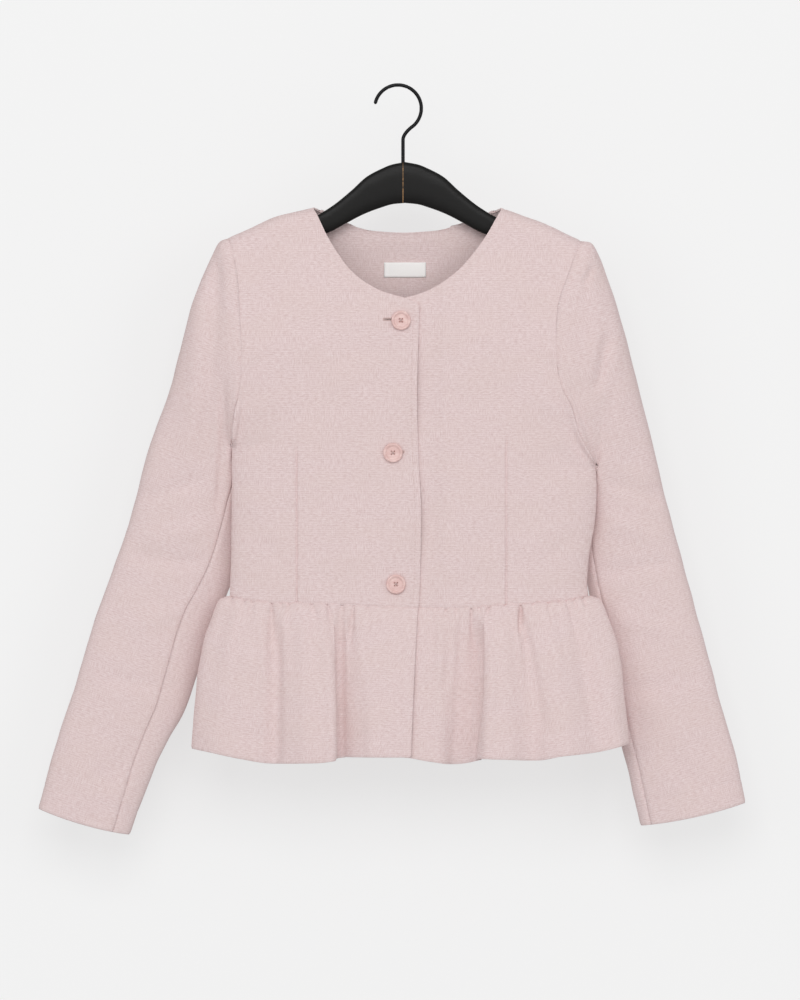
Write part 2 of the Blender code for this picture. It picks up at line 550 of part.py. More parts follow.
def peplum_panel(folds, front, lapped=False):
    """Outer grid of a peplum piece: rows down from the waist seam, columns along it."""
    rows = np.array(folds)
    place = np.linspace(0.0, len(rows) - 1.0, COLUMNS_PER_FOLD * (len(rows) - 1) + 1)
    waist_x, hem_x, gather, fold = (wave(rows[:, k], place)[None] for k in range(4))
    drop = (np.arange(PEPLUM_ROWS + 1) / PEPLUM_ROWS)[:, None] ** PEPLUM_ROW_POWER
    right_waist, left_waist = WAIST[0][0], WAIST[-1][0]
    right_hem, left_hem = HEM[0][0], HEM[-1][0]
    near = np.minimum(waist_x - right_waist, left_waist - waist_x)
    at_side = np.exp(-np.maximum(near, 0.0) / SIDE_REACH)
    flare = (smooth(SIDE_FLARE, drop) * at_side + drop**FRONT_FLARE_POWER * (1 - at_side))
    x = waist_x + (hem_x - waist_x) * flare
    top, foot = smooth(WAIST, waist_x) - WAIST_PARTING, smooth(HEM, hem_x)
    z = top + (foot - top) * drop
    side_flare = smooth(SIDE_FLARE, drop)
    right = right_waist + (right_hem - right_waist) * side_flare
    left = left_waist + (left_hem - left_waist) * side_flare
    across = np.clip((x - right) / (left - right), 0.0, 1.0)
    swing = HEM_MIDDLE_RIGHT * (1 - across) + HEM_MIDDLE_LEFT * across
    middle = swing * drop**SWING_POWER
    stand = drop**FLARE_POWER
    inward = np.minimum(x - right, left - x)
    gather_share = drop / GATHER_PEAK * np.exp(1.0 - drop / GATHER_PEAK)
    relief = gather * np.minimum(gather_share, 1.0) + fold * drop**FOLD_POWER
    rounded = section(inward, 0.5 * (left - right))
    if front:
        depth = WAIST_FRONT_DEPTH + (HEM_FRONT - WAIST_FRONT_DEPTH) * stand
        y = middle - depth * rounded - relief
    else:
        depth = WAIST_BACK_DEPTH + (HEM_BACK - WAIST_BACK_DEPTH) * stand
        y = middle + depth * rounded + relief
    if lapped:
        y = y + lap_depth(x)
    return np.stack(np.broadcast_arrays(x, y, z), axis=-1)


# Cloth walls

def unit(vectors):
    """Vectors scaled to length one."""
    return vectors / np.maximum(np.linalg.norm(vectors, axis=-1, keepdims=True), 1e-12)


def grid_normals(points, outward):
    """Normals of a grid from its rows and columns, turned to the outside."""
    down = np.gradient(points, axis=0)
    across = np.gradient(points, axis=1)
    return unit(np.cross(across, down)) * outward


def share_normals(grids, normals):
    """Average the normals of all grid points that lie in one place."""
    points = np.concatenate([grid.reshape(-1, 3) for grid in grids])
    facing = np.concatenate([normal.reshape(-1, 3) for normal in normals])
    _, which = np.unique(np.round(points, 3), axis=0, return_inverse=True)
    which = which.reshape(-1)
    total = np.zeros((which.max() + 1, 3))
    np.add.at(total, which, facing)
    shared = unit(total)[which]
    ends = np.cumsum([grid.shape[0] * grid.shape[1] for grid in grids])[:-1]
    return [part.reshape(grid.shape) for part, grid in zip(np.split(shared, ends), grids)]


def drawn_in(edge, following, normal):
    """How far each point of a seam's edge moves to part two pieces.

    The move is square to the seam and to the wall's thickness.  Where those two run
    together, as at the underarm, it follows the piece's own surface instead.
    """
    across = np.cross(unit(np.gradient(edge, axis=0)), normal)
    onward = following - edge
    across = across * np.sign((across * onward).sum())
    clear = np.linalg.norm(across, axis=-1, keepdims=True) > SQUARE_ENOUGH
    return 0.5 * SEAM * np.where(clear, unit(across), unit(onward))


def trim(outer, inner, normal, sides):
    """Draw the named sides of a wall in by half a seam's parting."""
    move = np.zeros_like(outer)
    if "first_column" in sides:
        move[:, 0] += drawn_in(outer[:, 0], outer[:, 1], normal[:, 0])
    if "last_column" in sides:
        move[:, -1] += drawn_in(outer[:, -1], outer[:, -2], normal[:, -1])
    if "first_row" in sides:
        move[0] += drawn_in(outer[0], outer[1], normal[0])
    if "last_row" in sides:
        move[-1] += drawn_in(outer[-1], outer[-2], normal[-1])
    if "shoulders" in sides:
        last = PANEL_COLUMNS + 1
        for part in (slice(0, last), slice(-last, None)):
            move[-1, part] += drawn_in(outer[-1, part], outer[-2, part], normal[-1, part])
    return outer + move, inner + move


def add_mesh(name, points, faces, surface):
    """A new smooth object from points in millimetres, with its sharp edges kept."""
    mesh = bpy.data.meshes.new(name)
    mesh.from_pydata((np.asarray(points) * MM).tolist(), [], faces)
    mesh.materials.append(surface)
    mesh.shade_smooth()
    mesh.set_sharp_from_angle(angle=math.radians(SHARP_ANGLE))
    made = bpy.data.objects.new(name, mesh)
    bpy.context.scene.collection.objects.link(made)
    return made


def wall(name, outer, inner, turned, surface):
    """Closed wall between an outer and an inner grid."""
    rows, columns = outer.shape[:2]
    outside = np.arange(rows * columns).reshape(rows, columns)
    inside = outside + rows * columns
    faces = []
    for i in range(rows - 1):
        for j in range(columns - 1):
            faces.append([outside[i, j], outside[i, j + 1], outside[i + 1, j + 1],
                          outside[i + 1, j]])
            faces.append([inside[i, j], inside[i + 1, j], inside[i + 1, j + 1],
                          inside[i, j + 1]])
    rim = ([(0, j) for j in range(columns - 1)] + [(i, columns - 1) for i in range(rows - 1)]
           + [(rows - 1, j) for j in range(columns - 1, 0, -1)]
           + [(i, 0) for i in range(rows - 1, 0, -1)])
    for here, there in zip(rim, rim[1:] + rim[:1]):
        ring = [outside[there], outside[here], inside[here], inside[there]]
        # Two pieces that meet split the strip between them along the same diagonal
        if outer[here][2] < outer[there][2]:
            ring = ring[1:] + ring[:1]
        faces += [ring[:3], [ring[0], ring[2], ring[3]]]
    faces = [[int(k) for k in (face[::-1] if turned else face)] for face in faces]
    points = np.concatenate((outer.reshape(-1, 3), inner.reshape(-1, 3)))
    return add_mesh(name, points, faces, surface)


def cloth_pieces(tweed):
    """Every cloth piece of the jacket, as closed walls."""
    top_right, under_right = sleeve_pieces(SIDE_RIGHT, UNDERARM_RIGHT, OUTER_RIGHT,
                                           INNER_RIGHT, SEAM_RIGHT)
    top_left, under_left = sleeve_pieces(SIDE_LEFT, UNDERARM_LEFT, OUTER_LEFT,
                                         INNER_LEFT, SEAM_LEFT)
    sides = {"first_column", "last_column"}
    # Name, grid, sign of its normals, sides that meet another piece
    table = (
        ("front_right", front_panel(SIDE_RIGHT, UNDERARM_RIGHT, SHOULDER_RIGHT, NECK_RIGHT,
                                    EDGE_RIGHT, False), 1, {"first_column", "last_row"}),
        ("front_left", front_panel(SIDE_LEFT, UNDERARM_LEFT, SHOULDER_LEFT, NECK_LEFT,
                                   EDGE_LEFT, True), -1, {"first_column", "last_row"}),
        ("back", back_panel(), -1, sides | {"shoulders"}),
        ("sleeve_top_right", top_right, 1, sides | {"first_row"}),
        ("sleeve_under_right", under_right, 1, sides | {"first_row"}),
        ("sleeve_top_left", top_left, -1, sides | {"first_row"}),
        ("sleeve_under_left", under_left, -1, sides | {"first_row"}),
        ("peplum_front_right", peplum_panel(FOLDS_FRONT_RIGHT, True), -1, {"first_column"}),
        ("peplum_front_left", peplum_panel(FOLDS_FRONT_LEFT, True, True), -1,
         {"last_column"}),
        ("peplum_back", peplum_panel(back_folds(), False), -1, sides),
    )
    grids = [row[1] for row in table]
    normals = [grid_normals(row[1], row[2]) for row in table]
    for row, normal in zip(table, normals):
        if row[0] in ("front_right", "front_left", "back") or row[0].startswith("peplum"):
            normal[0, :, 2] = 0.0
            normal[0] = unit(normal[0])
    for row, normal in zip(table, normals):
        for i, j in UNDERARM_POINTS.get(row[0], ()):
            normal[i, j] = (0.0, 0.0, -1.0)
    normals = share_normals(grids, normals)
    made = {}
    for (name, grid, facing, seams), normal in zip(table, normals):
        outer, inner = trim(grid, grid - WALL * normal, normal, seams)
        made[name] = wall(name, outer, inner, facing < 0, tweed)
    return made


# Buttons and label

def turned(name, profile, sides, surface):
    """Solid of revolution about Z from a half section that starts and ends on the axis."""
    points = [(0.0, 0.0, profile[0][1])]
    for radius, height in profile[1:-1]:
        for k in range(sides):
            angle = 2 * math.pi * k / sides
            points.append((radius * math.cos(angle), radius * math.sin(angle), height))
    points.append((0.0, 0.0, profile[-1][1]))
    rings = len(profile) - 2
    faces = []
    for k in range(sides):
        after = (k + 1) % sides
        faces.append([0, 1 + after, 1 + k])
        faces.append([len(points) - 1, 1 + (rings - 1) * sides + k,
                      1 + (rings - 1) * sides + after])
        for ring in range(rings - 1):
            low, high = 1 + ring * sides, 1 + (ring + 1) * sides
            faces.append([low + k, low + after, high + after, high + k])
    return add_mesh(name, points, faces, surface)


def cut(target, radius, sides, place, height, name):
    """Cut an upright round hole through a target, with its cutter kept as a guide."""
    profile = ((0.0, -height), (radius, -height), (radius, height), (0.0, height))
    cutter = turned(name, profile, sides, target.data.materials[0])
    cutter.location = Vector(place) * MM
    cutter.hide_render = True
    cutter.display_type = "WIRE"
    hole = target.modifiers.new(name, "BOOLEAN")
    hole.operation = "DIFFERENCE"
    hole.object = cutter
    return cutter


def add_buttons(front, shell):
    """Three buttons on the upper front, each flat on the cloth below it."""
    for name, (x, z) in BUTTONS.items():
        button = turned(name, BUTTON_PROFILE, BUTTON_SIDES, shell)
        for k in range(4):
            angle = math.pi * (0.25 + 0.5 * k)
            place = (HOLE_SPREAD * math.cos(angle), HOLE_SPREAD * math.sin(angle), 0.0)
            cutter = cut(button, HOLE_RADIUS, HOLE_SIDES, place, CUTTER_REACH,
                         f"{name}_hole_{k}")
            cutter.parent = button
        reach = BUTTON_RADIUS * BUTTON_FOOTING
        probes = [(0.0, 0.0), (reach, 0.0), (-reach, 0.0), (0.0, reach), (0.0, -reach)]
        hits = [surface_hit(front, x + dx, -PROBE_START, z + dz) for dx, dz in probes]
        right_left = hits[1] - hits[2]
        up_down = hits[3] - hits[4]
        facing = right_left.cross(up_down).normalized()
        if facing.y > 0.0:
            facing = -facing
        nearest = max((hit - hits[0]).dot(facing) for hit in hits)
        button.rotation_euler = facing.to_track_quat("Z", "Y").to_euler()
        button.location = hits[0] + facing * (max(nearest, 0.0) + BUTTON_SEAT * MM)


def surface_hit(target, x, y, z):
    """Where a level ray towards the back first meets a piece of cloth."""
    start = Vector((x, y, z)) * MM
    found, place, _, _ = target.ray_cast(start, Vector((0.0, 1.0, 0.0)))
    assert found
    return place


def add_label(back, tape):
    """Bare woven label on the inside of the back, made from the back's own surface."""
    face = np.zeros((LABEL_ROWS + 1, LABEL_COLUMNS + 1, 3))
    for i in range(LABEL_ROWS + 1):
        for j in range(LABEL_COLUMNS + 1):
            x = LABEL_MIDDLE[0] + LABEL_WIDTH * (j / LABEL_COLUMNS - 0.5)
            z = LABEL_MIDDLE[1] + LABEL_HEIGHT * (i / LABEL_ROWS - 0.5)
            face[i, j] = np.array(surface_hit(back, x, 0.0, z)) / MM
    near = face - np.array((0.0, LABEL_CLEAR + LABEL_THICK, 0.0))
    far = face - np.array((0.0, LABEL_CLEAR, 0.0))
    return wall("neck_label", near, far, False, tape)


# Hanger

def tube(name, rings, surface, turned_over=False):
    """Closed solid through rings of points, with a flat cap at each end."""
    count, sides = rings.shape[:2]
    index = np.arange(count * sides).reshape(count, sides)
    faces = [index[0].tolist(), index[-1][::-1].tolist()]
    for i in range(count - 1):
        for k in range(sides):
            after = (k + 1) % sides
            faces.append([int(index[i, k]), int(index[i + 1, k]), int(index[i + 1, after]),
                          int(index[i, after])])
    if turned_over:
        faces = [face[::-1] for face in faces]
    return add_mesh(name, rings.reshape(-1, 3), faces, surface)


def add_hanger(wood):
    """Wooden hanger: a rounded bar that follows its top and foot edge, with a hook socket."""
    turn = np.linspace(-1.0, 1.0, HANGER_STEPS + 1)
    reach = HANGER_REACH * (END_CLOSING * np.sin(0.5 * np.pi * turn)
                            + (1.0 - END_CLOSING) * turn)
    x = HANGER_MIDDLE + reach
    distance = np.abs(reach)
    top = smooth(HANGER_TOP, distance)
    foot = smooth(HANGER_FOOT, distance)
    seat = ridge(x) - SEAT_SLANT * WALL - ARM_SEAT
    rise = ease((distance - SEAT_FROM) / (SEAT_FULL - SEAT_FROM))
    top = top + (seat - top) * rise
    thick = HANGER_THICK - ARM_THINNING * ease((distance - THINNING_FROM) / THINNING_OVER)
    blunt = np.sqrt(np.clip((HANGER_REACH - distance) / END_ROUNDING, END_LEAST, 1.0))
    angle = 2 * np.pi * (np.arange(HANGER_SIDES) + 0.5) / HANGER_SIDES
    power = 2.0 / HANGER_SECTION_POWER
    round_y = np.sign(np.cos(angle)) * np.abs(np.cos(angle)) ** power
    round_z = np.sign(np.sin(angle)) * np.abs(np.sin(angle)) ** power
    round_z = round_z / round_z.max()
    half = 0.5 * (top - foot)
    middle = top - half
    rings = np.empty((len(x), HANGER_SIDES, 3))
    rings[..., 0] = x[:, None]
    rings[..., 1] = 0.5 * (thick * blunt)[:, None] * round_y[None]
    rings[..., 2] = middle[:, None] + half[:, None] * (
        round_z[None] * np.where(round_z > 0, 1.0, blunt[:, None]))
    hanger = tube("hanger_body", rings, wood)
    socket = (SHANK_X, 0.0, SHANK_FOOT - SOCKET_CLEAR + SOCKET_CUTTER)
    cut(hanger, WIRE_RADIUS + SOCKET_CLEAR, SOCKET_SIDES, socket, SOCKET_CUTTER, "hook_socket")
    return hanger


def hook_path():
    """Middle line of the hook: an arc from its tip, a slant, and a shank down to its foot."""
    radius = HOOK_INNER_RADIUS + WIRE_RADIUS
    middle_z = -math.sqrt(HOOK_INNER_RADIUS**2 - HOOK_MIDDLE_X**2)
    angle = np.radians(np.linspace(HOOK_TIP_ANGLE, HOOK_END_ANGLE, HOOK_STEPS + 1))
    arc = np.stack([HOOK_MIDDLE_X + radius * np.cos(angle),
                    middle_z + radius * np.sin(angle)], axis=-1)
    t = np.linspace(0.0, 1.0, BEND_STEPS + 1)[1:, None]
    elbow = np.array((SHANK_X, BEND_TOP - BEND_LEAD))
    foot = np.array((SHANK_X, BEND_FOOT))
    bend = (1 - t) ** 2 * arc[-1] + 2 * t * (1 - t) * elbow + t**2 * foot
    shank = np.array(((SHANK_X, SHANK_RING), (SHANK_X, SHANK_FOOT)))
    return np.concatenate((arc, bend, shank))


def add_hook(steel):
    """Bent wire hook with its shank in the hanger's socket."""
    path = hook_path()
    ahead = unit(np.gradient(path, axis=0))
    ahead[-1] = (0.0, -1.0)
    side = np.stack([ahead[:, 1], -ahead[:, 0]], axis=-1)
    angle = 2 * np.pi * (np.arange(WIRE_SIDES) + 0.5) / WIRE_SIDES
    rings = np.empty((len(path), WIRE_SIDES, 3))
    flat = WIRE_RADIUS * np.cos(angle)
    rings[..., 0] = path[:, :1] + side[:, :1] * flat
    rings[..., 1] = WIRE_RADIUS * np.sin(angle)
    rings[..., 2] = path[:, 1:] + side[:, 1:] * flat
    return tube("hanger_hook", rings, steel, turned_over=True)


def main():
    """Build the jacket on its hanger."""
    clear_scene()
    tweed = material("tweed", (0.70, 0.56, 0.54), 0.95)
    shell = material("button_resin", (0.68, 0.45, 0.44), 0.4)
    tape = material("label_tape", (0.84, 0.81, 0.78), 0.8)
    wood = material("black_lacquered_wood", (0.012, 0.012, 0.012), 0.35)
    steel = material("black_plated_steel", (0.02, 0.02, 0.02), 0.3, 1.0)
    pieces = cloth_pieces(tweed)
    bpy.context.view_layer.update()
    add_buttons(pieces["front_right"], shell)
    add_label(pieces["back"], tape)
    add_hanger(wood)
    add_hook(steel)


main()
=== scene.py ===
"""How the tweed jacket and its clothes hanger look: cloth with its creases, sewing and finishes.

Tables are in millimetres and meshes in metres, +Z up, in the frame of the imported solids.  The
cloth's surfaces are functions of two parameters, read on fine grids, and follow the same
outlines as the solids.  Each is then creased, drawn in at its seams and given its thickness.
"""
import math

import bmesh
import bpy
import numpy as np
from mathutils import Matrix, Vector
from mathutils.bvhtree import BVHTree

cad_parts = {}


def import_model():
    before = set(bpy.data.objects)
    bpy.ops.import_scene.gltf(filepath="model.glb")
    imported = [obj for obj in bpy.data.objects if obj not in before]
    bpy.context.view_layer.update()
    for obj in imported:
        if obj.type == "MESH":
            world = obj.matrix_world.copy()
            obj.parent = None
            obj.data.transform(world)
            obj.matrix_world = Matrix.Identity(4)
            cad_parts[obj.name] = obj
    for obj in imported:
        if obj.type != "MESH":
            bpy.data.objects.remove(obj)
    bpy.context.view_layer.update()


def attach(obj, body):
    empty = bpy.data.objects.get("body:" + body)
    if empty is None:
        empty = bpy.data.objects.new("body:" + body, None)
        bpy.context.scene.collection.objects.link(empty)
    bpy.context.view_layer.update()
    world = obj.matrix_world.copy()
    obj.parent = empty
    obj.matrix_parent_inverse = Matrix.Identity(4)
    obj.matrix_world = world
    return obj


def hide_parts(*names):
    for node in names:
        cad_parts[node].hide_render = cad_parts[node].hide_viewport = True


# Driving dimensions, in millimetres
MM = 0.001
WALL = 2.0                  # thickness of the doubled tweed
LAP_CLEAR = 0.6             # space between the lapped fronts
LAP_REACH = 46.0            # the under front steps back between these two places
LAP_FULL = 31.0
CHEST_FRONT = 26.0          # how far the front stands out of the hanger's plane
CHEST_BACK = 20.0
SHOULDER_ROLL = 14.0        # half thickness of the cloth where it rolls over the hanger
ROLL_EASE = 150.0           # distance below the shoulder over which the chest fills out
SECTION_POWER = 2.5         # roundness of the body's section, 2 is an ellipse
ARMHOLE_FRONT = 24.0        # depth of the armhole in front of the hanger's plane
ARMHOLE_BACK = 18.0
ARMHOLE_POWER = 0.7         # roundness of the armhole's foot and top at its edge
ARMHOLE_FADE = 9.0          # distance over which the panel beside its foot grows smooth
ARMHOLE_SMOOTHING = 1.5     # what that adds to the power
FOOT_FADE = 2.5             # at the armhole's very foot it is smooth this near the seam
FOOT_SHARE = 0.45           # up to this share of the armhole's depth

# Counts of rows and columns in the cloth's grids
FINE = 7                    # rows here for each row of the plain solids
BODY_ROWS = 6 * FINE        # waist seam to underarm
ARM_ROWS = 14 * FINE        # underarm to shoulder
CORNER_ROW = BODY_ROWS + 8 * FINE   # row that ends at the top corner of the front edge
PANEL_COLUMNS = 120         # side seam to centre front
SHOULDER_COLUMNS = 90       # of the back, along each shoulder
NECK_COLUMNS = 80           # across the back of the neck
SLEEVE_ROWS = 190
INNER_POWER = 1.6           # the rings turn about the underarm before they move down it
PEPLUM_ROWS = 64
NORMAL_PASSES = 8           # how often a grid's normals are averaged over its rows
COLUMNS_PER_FOLD = 10       # from each row of the fold tables to the next
UNDER_FRONT = 2 * FINE      # armhole steps from the underarm to the sleeve's front seam
UNDER_BACK = 4 * FINE       # and to its back seam
# Outline of the body's sides, waist to shoulder: height, x on the right side of the wearer
SIDE_RIGHT = (
    (-511.0, -170.5), (-496.0, -171.0), (-473.0, -170.0), (-383.0, -169.5), (-358.0, -169.0),
    (-333.0, -167.0), (-311.0, -163.3), (-286.0, -160.6), (-261.0, -160.4), (-228.0, -162.0),
    (-197.0, -163.8), (-166.0, -168.5), (-151.0, -172.0),
)
# The same on the left side of the wearer
SIDE_LEFT = (
    (-511.0, 187.5), (-496.0, 186.5), (-473.0, 188.0), (-457.0, 190.6), (-440.0, 193.4),
    (-407.0, 195.8), (-378.0, 194.5), (-361.0, 185.5), (-343.0, 177.0), (-333.0, 174.0),
    (-316.5, 168.3),
    (-301.0, 161.5), (-278.6, 157.2), (-253.0, 155.9), (-225.0, 157.0), (-208.0, 160.6),
    (-194.0, 165.8), (-165.0, 176.0), (-154.0, 180.0),
)
UNDERARM_RIGHT = -358.0
UNDERARM_LEFT = -378.0
# Shoulder seams from the armhole to the neck: x, height
SHOULDER_RIGHT = ((-172.0, -151.0), (-150.0, -141.0), (-122.0, -129.0), (-88.0, -120.5))
SHOULDER_LEFT = ((180.0, -154.0), (153.0, -141.0), (123.0, -129.0), (101.0, -121.0))
# Edge of the neck from the front edge's corner to the shoulder: x, height
NECK_RIGHT = (
    (18.5, -217.6), (2.8, -211.0), (-17.0, -205.4), (-38.0, -194.0), (-52.0, -181.6),
    (-64.5, -164.7), (-74.3, -148.0), (-84.0, -127.6), (-88.0, -120.5),
)
NECK_LEFT = (
    (-18.5, -217.6), (4.0, -211.2), (19.7, -206.8), (39.3, -197.0), (57.6, -183.0),
    (71.6, -167.5), (85.6, -148.0), (96.0, -129.7), (101.0, -121.0),
)
# Edge of the neck behind, from the right shoulder to the left one: x, height
NECK_BACK = (
    (-88.0, -120.5), (-81.5, -122.0), (-72.0, -128.5), (-52.0, -137.5), (-25.0, -143.5),
    (2.0, -145.0), (30.0, -143.5), (57.0, -138.0), (84.0, -128.5), (94.5, -122.5),
    (101.0, -121.0),
)
# Front edges from the waist seam up: height, x
EDGE_RIGHT = ((-522.0, 17.5), (-493.0, 19.0), (-430.0, 20.0), (-358.0, 17.0), (-313.0, 16.0),
              (-217.6, 18.5))
EDGE_LEFT = ((-522.0, -18.5), (-217.6, -18.5))
# Waist seam: x, height
WAIST = (
    (-170.5, -511.0), (-155.0, -514.0), (-131.0, -516.5), (-71.0, -517.5), (-30.0, -520.0),
    (11.0, -522.0), (62.0, -521.5), (108.0, -519.0), (139.0, -517.0), (165.0, -514.5),
    (187.5, -511.0),
)

# Sleeves from the shoulder or underarm to the cuff: x, height
OUTER_RIGHT = (
    (-172.0, -151.0), (-181.0, -154.5), (-189.0, -169.0), (-209.0, -217.0), (-231.0, -301.0),
    (-251.0, -357.0), (-274.0, -441.0), (-305.0, -527.0), (-330.0, -609.0), (-348.0, -665.0),
    (-363.0, -722.0),
)
INNER_RIGHT = (
    (-169.0, -358.0), (-168.5, -366.0), (-166.0, -380.0), (-162.5, -405.0), (-162.0, -430.0),
    (-164.0, -465.0), (-168.0, -490.0), (-176.0, -512.0), (-189.0, -538.0), (-203.0, -584.0),
    (-216.5, -623.0), (-232.0, -651.0), (-247.0, -681.0), (-258.0, -710.0), (-272.0, -748.0),
)
OUTER_LEFT = (
    (180.0, -154.0), (189.0, -155.5), (198.0, -169.0), (215.0, -217.0), (238.0, -301.0),
    (252.0, -357.0), (273.0, -441.0), (296.0, -525.0), (318.0, -609.0), (334.0, -665.0),
    (345.0, -716.0),
)
INNER_LEFT = (
    (194.5, -378.0), (195.5, -384.0), (194.5, -392.0), (191.5, -405.0), (187.0, -435.0),
    (184.0, -470.0), (187.5, -500.0), (191.0, -520.0), (195.0, -540.0), (201.0, -568.0),
    (206.0, -595.0),
    (212.0, -623.0), (219.0, -653.0), (226.0, -678.0), (240.0, -739.0),
)
# Along a sleeve: share of its length, middle plane, front depth, back depth
SLEEVE_DEPTH = (
    (0.0, 0.0, ARMHOLE_FRONT, ARMHOLE_BACK), (0.15, 5.0, 23.0, 17.0), (0.38, 15.0, 20.0, 15.0),
    (0.6, 18.0, 18.0, 14.0), (0.8, 16.0, 17.0, 14.0), (1.0, 13.0, 16.0, 14.0),
)
# The inner edge of a sleeve lies behind the body's side: share of its length, how far
INNER_TUCK = ((0.0, 0.0), (0.08, 6.0), (0.16, 11.0), (0.3, 12.0), (0.6, 6.0), (1.0, 0.0))
CAP_SHARE = 0.18            # length over which the armhole's curve eases out of the sleeve
CUFF_SAG = 3.0              # how far the middle of a cuff hangs below its corners
# Angles of the sleeve's seams in degrees from its inner edge, along its length
SEAM_RIGHT = ((0.0, 0.0), (0.15, 16.0), (0.35, 46.0), (0.65, 63.0), (1.0, 50.0))
SEAM_LEFT = ((0.0, 0.0), (0.15, 14.0), (0.35, 34.0), (0.65, 40.0), (1.0, 36.0))
SEAM_BEHIND = ((0.0, 0.0), (0.3, 70.0), (1.0, 80.0))
SEAM_SETTLES = 0.3          # share of the length over which a seam leaves the armhole's point

# Peplum: outlines of its sides as share of its drop, share of its flare
SIDE_FLARE = ((0.0, 0.0), (0.03, 0.29), (0.16, 0.5), (0.3, 0.68), (0.5, 0.82), (0.7, 0.9),
              (1.0, 1.0))
FRONT_FLARE_POWER = 0.8
SIDE_REACH = 30.0           # distance from the side seam over which the side's flare fades
HEM_FRONT = 30.0            # depth of the hem's section before and behind its middle
HEM_BACK = 38.0
HEM_MIDDLE_RIGHT = -8.0     # the side seams swing forward at the hem, clear of the sleeves
HEM_MIDDLE_LEFT = -26.0
WAIST_FRONT_DEPTH = 25.0
WAIST_BACK_DEPTH = 20.0
FLARE_POWER = 0.5           # how soon below the seam the peplum stands out
SWING_POWER = 0.7           # how soon its side seams swing forward
FOLD_POWER = 0.7            # and its folds grow
WAIST_PARTING = -3.0        # the peplum starts this far above the body's edge, behind it
GATHER_PEAK = 0.14          # share of the drop at which the gathers are deepest
GATHER_SHARE = 0.5          # of the solids' gathers, as fine puckers do the rest
HEM = (
    (-210.0, -661.0), (-189.0, -665.0), (-160.0, -671.0), (-129.0, -675.5), (-90.0, -675.0),
    (-68.0, -673.0), (-57.0, -669.0), (0.0, -669.0), (27.0, -673.0), (53.0, -676.0),
    (75.0, -670.5), (135.0, -672.0), (160.0, -668.0), (195.0, -664.0), (228.0, -656.0),
)
# Rows of folds: x at the waist, x at the hem, depth of the gather, depth of the fold.
# A positive depth is a crest towards the viewer.
FOLDS_FRONT_RIGHT = (
    (-170.5, -210.0, 0.0, 0.0), (-167.5, -206.5, 0.8, 0.5), (-161.0, -199.0, -1.4, 1.0),
    (-155.0, -186.0, 1.6, 3.0), (-149.0, -172.0, -1.6, 3.0), (-138.0, -152.0, 1.6, -1.0),
    (-129.0, -132.0, -2.0, -5.0), (-120.0, -114.0, 1.4, 0.0), (-112.0, -101.0, -1.8, 4.0),
    (-100.0, -88.0, 1.5, 6.5), (-89.0, -78.0, -1.8, 8.0), (-79.0, -69.5, 1.8, 8.0),
    (-71.0, -64.5, -2.0, 3.0), (-66.0, -64.5, 1.5, -5.0), (-60.0, -61.0, -2.2, -12.0),
    (-55.0, -55.0, 1.5, -9.0), (-51.0, -47.0, -2.0, -5.0), (-44.0, -39.0, 1.5, -2.0),
    (-36.0, -31.0, -1.2, 1.5), (-25.0, -22.0, 0.8, 2.0), (0.0, -4.0, 0.0, 0.5),
    (17.5, 10.0, 0.0, 0.0),
)
FOLDS_FRONT_LEFT = (
    (-18.5, -24.0, 0.0, -2.0), (-4.0, -9.0, 0.0, -2.0), (12.0, 6.0, 0.0, -2.0),
    (24.0, 19.0, 0.8, 0.0), (30.0, 27.0, -1.2, 0.0), (38.0, 36.0, 1.4, -1.0),
    (46.0, 43.0, -1.8, -5.0), (54.0, 49.0, 1.4, -10.0), (61.0, 55.0, -1.8, -13.0),
    (68.0, 64.0, 1.0, -10.0), (74.0, 75.0, -1.6, -2.0), (81.0, 86.0, 1.6, 4.0),
    (88.0, 96.0, -1.6, 6.0), (98.0, 108.0, 1.8, 4.0), (108.0, 119.0, -1.4, 0.0),
    (112.0, 127.0, 2.0, -3.0), (117.0, 135.0, -2.4, -4.0), (124.0, 146.0, 2.0, 1.0),
    (134.0, 157.0, -1.6, 4.0), (142.0, 167.0, 1.6, 5.0), (149.0, 177.0, -1.8, 3.0),
    (156.0, 188.0, 1.6, -1.0), (164.0, 199.0, -2.0, -3.0), (172.0, 209.0, 1.6, 0.0),
    (179.0, 218.0, -1.6, 2.0), (185.0, 225.5, 0.6, 0.5), (187.5, 228.0, 0.0, 0.0),
)
BACK_GATHERS = 13           # evenly spaced behind, where the folds rise and fall in turn
BACK_GATHER_DEPTH = 1.6
BACK_FOLD_DEPTH = 4.5
BACK_FOLDS = 5
BACK_FADE = 1.0 / 6.0       # share of the back over which they die away to its side seams

# Buttons: x, height
BUTTONS = {
    "button_top": (0.0, -234.0),
    "button_middle": (-8.0, -366.0),
    "button_bottom": (-5.0, -497.0),
}
BUTTON_RADIUS = 9.7
BUTTON_SEAT = 0.3           # space between the button's back and the cloth
HOLE_RADIUS = 0.8
HOLE_SPREAD = 1.9           # distance of each hole from the button's middle
BUTTON_FOOTING = 0.8        # share of its radius at which a button finds the cloth behind it

# Neck label: width, height, thickness, its middle
LABEL_WIDTH = 42.0
LABEL_HEIGHT = 15.0
LABEL_THICK = 0.7
LABEL_MIDDLE = (4.0, -182.5)
LABEL_LIFT = 0.3            # space between the label and the cloth
LABEL_GRID = (9, 25)        # rows and columns
PROBE_FROM = -200.0         # well in front of the jacket

